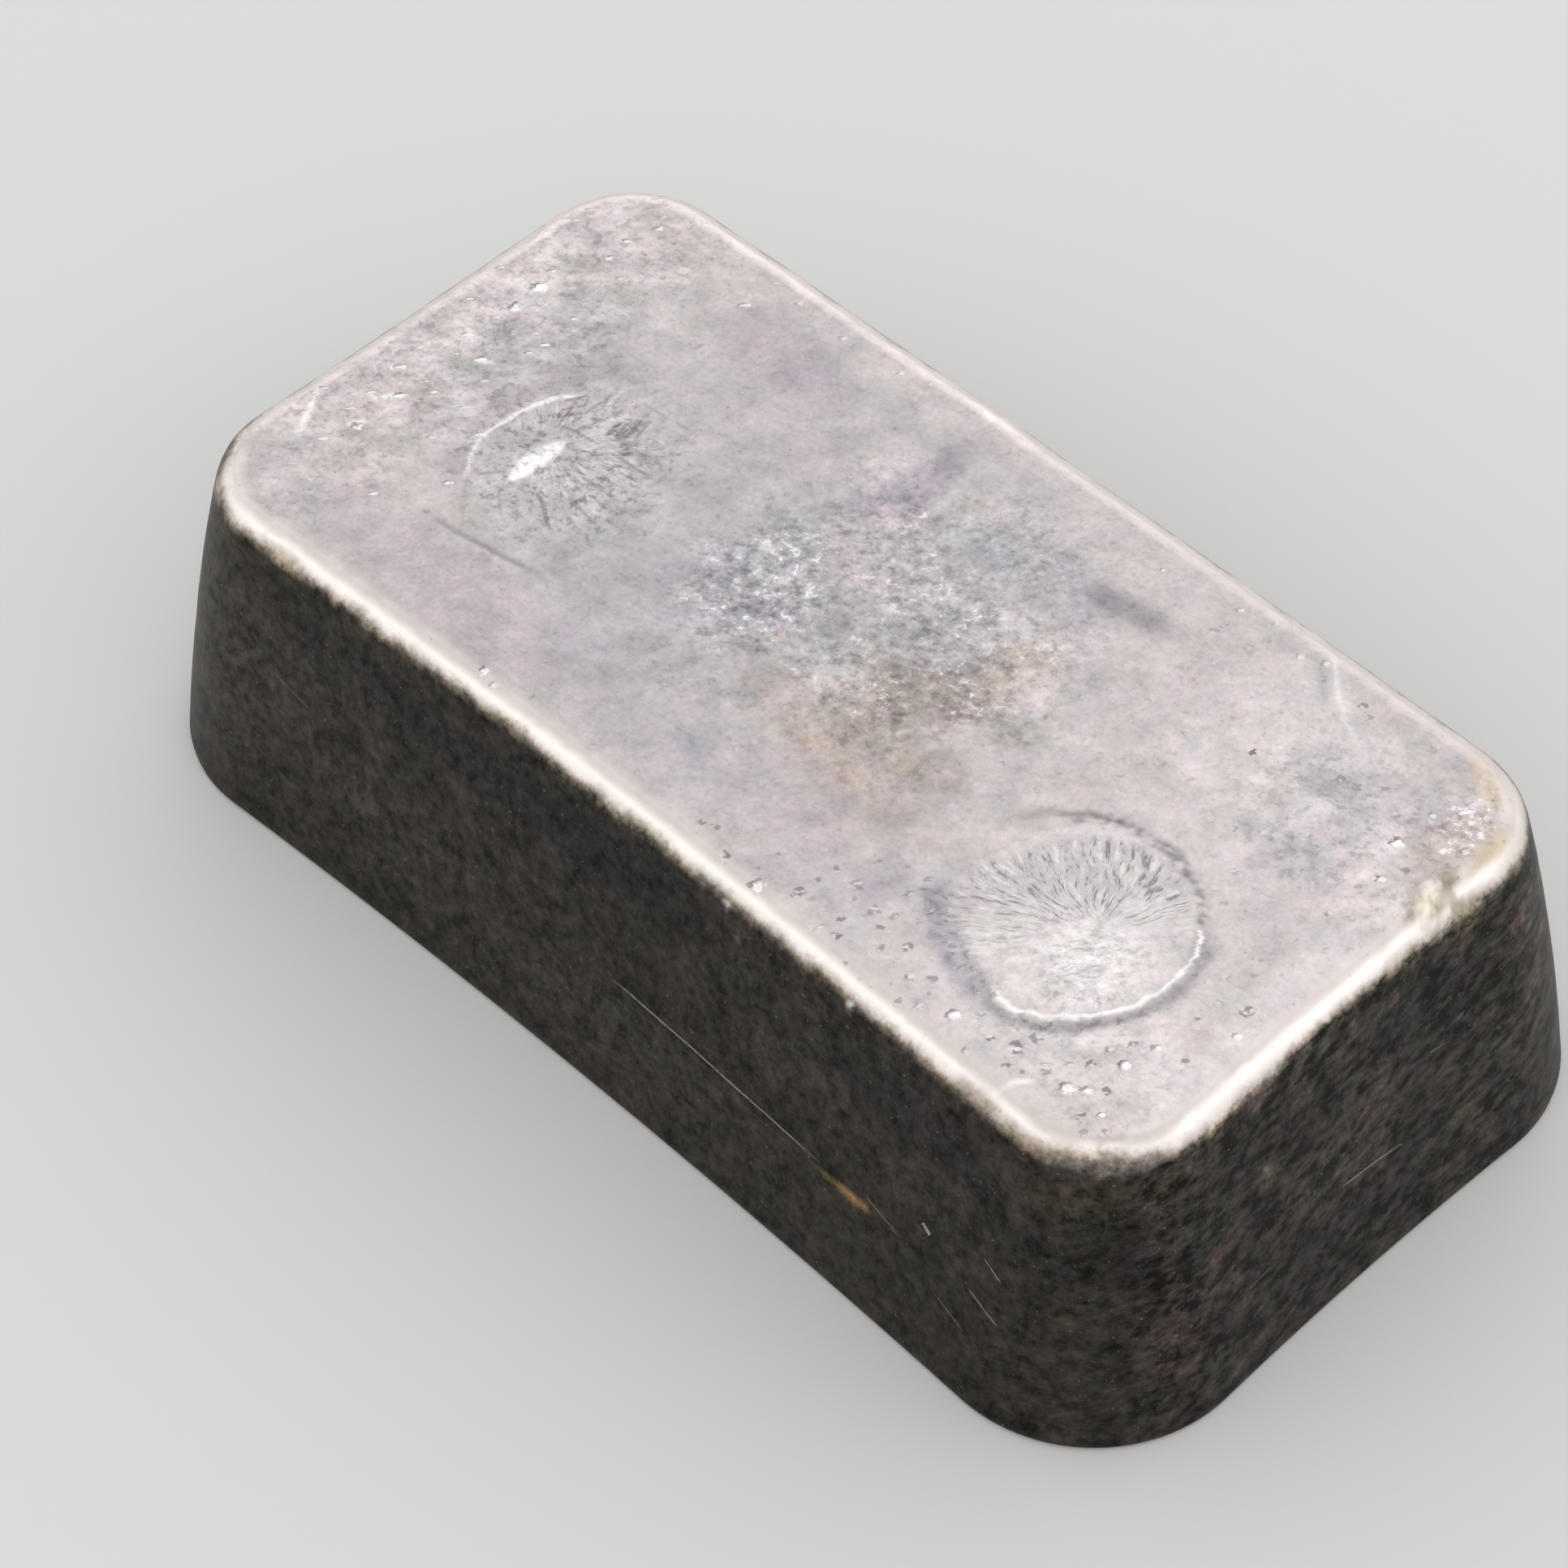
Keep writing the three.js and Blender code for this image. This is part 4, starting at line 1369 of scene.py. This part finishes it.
    def scatter_specks(self):
        """Specks, dark where the grain is low and bright where the crumbs are high."""
        pore = self.ranged(self.grain - 0.06 * self.wall, 0.32, 0.23)
        fleck = self.ranged(self.crumb + 0.3 * self.flecks, 0.72, 0.81)
        glint = self.ranged(self.grain, 0.67, 0.76) * self.wall
        self.lay(SPARKLE, 0.75 * fleck)
        self.lay(GLINT, 0.5 * glint)
        self.colour *= 1 - 0.32 * pore
        self.relief += 0.02 * fleck

    def raise_spots(self):
        """Lumps and pits, ragged at their rims. A lump has a painted highlight on one side and
        painted shade on the other, and a pit has painted shade with a few painted highlights."""
        along, across, strength = self.layers("spots")
        chips = self.noise(0.40, 2, self.stretched(FLOW, 1.5))

        def within(shift, far, near):
            place = {0: self.flat(along - shift, across + shift)}
            wide = self.term("VectorMath", place, "Value", operation="LENGTH")
            return self.ranged(wide + 2.6 * (chips - 0.5), far, near)

        core = within(0, 1.25, 0.55)
        raised = self.larger(strength, 0)
        lump, pit = core * raised, core * self.larger(-strength, 0)
        lit = within(0.25, 0.95, 0.40) * raised * self.ranged(chips, 0.34, 0.48, 0.35, 1.0)
        lit += 0.6 * pit * self.ranged(chips, 0.53, 0.62)
        shaded = lump * self.ranged(along - across, 0.2, -0.6)
        shaded = self.larger(shaded, pit * self.ranged(chips, 0.58, 0.46))
        # Painted shade on one side of each lump and in the pits, then painted highlights.
        self.lay(PIT_DARK_AND_SHADE, 0.85 * shaded)
        self.lay(SPARKLE, lit)
        self.relief += 0.06 * lump - 0.03 * shaded

    def draw_scratches(self):
        """Scratches, bright or dark."""
        offset, half_width, strength = self.layers("line")
        reach = abs(offset + 0.12 * (self.bend - 0.5)) / half_width
        drawn = self.ranged(reach, 1.4, 0.35) * self.ranged(self.grain, 0.30, 0.48, 0.35, 1.0)
        dark = drawn * self.larger(-strength, 0)
        self.lay(SCRATCH, drawn * self.larger(strength, 0))
        self.lay(PIT_DARK_AND_SHADE, dark)
        self.relief -= 0.02 * dark

    def finish(self):
        bump = {"Strength": 1.0, "Distance": MM, "Height": self.relief}
        sockets = self.tree.nodes["Principled BSDF"].inputs
        sockets["Metallic"].default_value = 1.0
        self.link(self.colour, sockets["Base Color"])
        self.link(self.roughness, sockets["Roughness"])
        self.link(self.term("Bump", bump, "Normal"), sockets["Normal"])


def cast_silver():
    material = bpy.data.materials.new(SLOT)
    metal = Metal(material)
    metal.wear_edges()
    metal.wander()
    metal.crumble()
    metal.draw_strokes()
    metal.scatter_specks()
    metal.raise_spots()
    metal.draw_scratches()
    metal.finish()
    return material


def plain_material(name, colour, roughness):
    material = bpy.data.materials.new(name)
    material.use_nodes = True
    shader = material.node_tree.nodes["Principled BSDF"]
    shader.inputs["Base Color"].default_value = (*colour, 1)
    shader.inputs["Roughness"].default_value = roughness
    return material


# ---- Blender object ----


def ingot_skin():
    points, faces = build_skin()
    surface = Surface(points, normals_of(points, faces))
    dress(surface)

    mesh = bpy.data.meshes.new("ingot_skin")
    placed = np.clip((points + surface.normals * surface.relief[:, None]) * MM, *CAD_BOX)
    mesh.from_pydata(placed.tolist(), [], faces)
    mesh.shade_smooth()
    tone = mesh.attributes.new("tone", "FLOAT_COLOR", "POINT")
    tone.data.foreach_set("color", np.column_stack([surface.tone, surface.roughness]).ravel())
    for name, layers in (
        ("wear", (surface.bared, surface.kept, surface.mottle)),
        ("detail", (surface.flecks, surface.pores, surface.frost)),
        ("strokes", (surface.strokes,)),
        ("line", (surface.line,)),
        ("spots", (surface.spots,)),
    ):
        values = mesh.attributes.new(name, "FLOAT_VECTOR", "POINT")
        values.data.foreach_set("vector", np.column_stack(layers).ravel())
    mesh.materials.append(cast_silver())
    piece = bpy.data.objects.new("ingot_skin", mesh)
    bpy.context.collection.objects.link(piece)
    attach(piece, "root")
    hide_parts(NODE)


# ---- Stage, lights and camera ----

# Half the floor's side, in metres.
FLOOR_HALF = 6.0
FLOOR_COLOUR = (0.68, 0.675, 0.67)
# The studio is lighter around its sides than above and below. The sides start and end at these
# sines of the height in the sky.
WORLD_LEVEL = 0.57
WORLD_SIDES = 0.46
SIDES_START = (-0.12, 0.03)
SIDES_END = (0.80, 0.45)
# Square lamps that face the origin: name, side in metres, place in metres, level as radiance.
LAMPS = (
    ("overhead", 2.4, (0.0, 0.0, 0.75), 0.27),
    ("top", 0.60, (-0.06, 0.24, 0.60), 0.22),
    ("near_left", 0.30, (-0.34, -0.44, 0.44), 0.12),
    ("far_right", 0.30, (0.50, 0.34, 0.44), 0.55),
    ("front", 0.24, (0.37, -0.35, 0.57), 1.90),
    ("back", 0.40, (-0.54, 0.54, 0.26), 0.35),
)


def build_stage():
    mesh = bpy.data.meshes.new("floor")
    corners = [(x * FLOOR_HALF, y * FLOOR_HALF, 0) for x, y in ((-1, -1), (1, -1), (1, 1), (-1, 1))]
    mesh.from_pydata(corners, [], [(0, 1, 2, 3)])
    mesh.materials.append(plain_material("floor", FLOOR_COLOUR, 0.9))
    floor = bpy.data.objects.new("floor", mesh)
    bpy.context.collection.objects.link(floor)


def light_stage():
    world = bpy.data.worlds.new("studio")
    recipe = Recipe(world)
    up = recipe.part(recipe.term("TexCoord", {}, "Generated"), "Z")
    sides = recipe.ranged(up, *SIDES_START) * recipe.ranged(up, *SIDES_END)
    background = recipe.tree.nodes["Background"]
    background.inputs["Color"].default_value = (1, 1, 1, 1)
    recipe.link(WORLD_LEVEL + WORLD_SIDES * sides, background.inputs["Strength"])
    bpy.context.scene.world = world
    for name, side, place, level in LAMPS:
        lamp = bpy.data.lights.new(name, "AREA")
        lamp.size = side
        lamp.energy = level * math.pi * side * side
        light = bpy.data.objects.new(name, lamp)
        light.location = place
        light.rotation_euler = (-Vector(place)).to_track_quat("-Z", "Y").to_euler()
        bpy.context.collection.objects.link(light)


# The photograph's viewing angle, solved from the block's outline.
CAMERA_AZIMUTH = math.radians(46.84)
CAMERA_ELEVATION = math.radians(49.33)
CAMERA_ROLL = math.radians(-1.746)
CAMERA_DISTANCE = 335.2
CAMERA_TARGET = (-1.37, -4.87, 12.27)
CAMERA_LENS = 120.17
SENSOR_WIDTH = 36.0


def place_camera():
    turned = (
        Matrix.Rotation(CAMERA_AZIMUTH, 4, "Z")
        @ Matrix.Rotation(math.pi / 2 - CAMERA_ELEVATION, 4, "X")
        @ Matrix.Rotation(CAMERA_ROLL, 4, "Z")
    )
    target = Matrix.Translation(Vector(CAMERA_TARGET) * MM)
    data = bpy.data.cameras.new("camera")
    data.sensor_width = SENSOR_WIDTH
    data.lens = CAMERA_LENS
    data.clip_start = 0.01
    data.clip_end = 50
    camera = bpy.data.objects.new("camera", data)
    camera.matrix_world = target @ turned @ Matrix.Translation((0, 0, CAMERA_DISTANCE * MM))
    bpy.context.collection.objects.link(camera)
    bpy.context.scene.camera = camera


bpy.context.scene.view_settings.view_transform = "Standard"
place_camera()
ingot_skin()
build_stage()
light_stage()
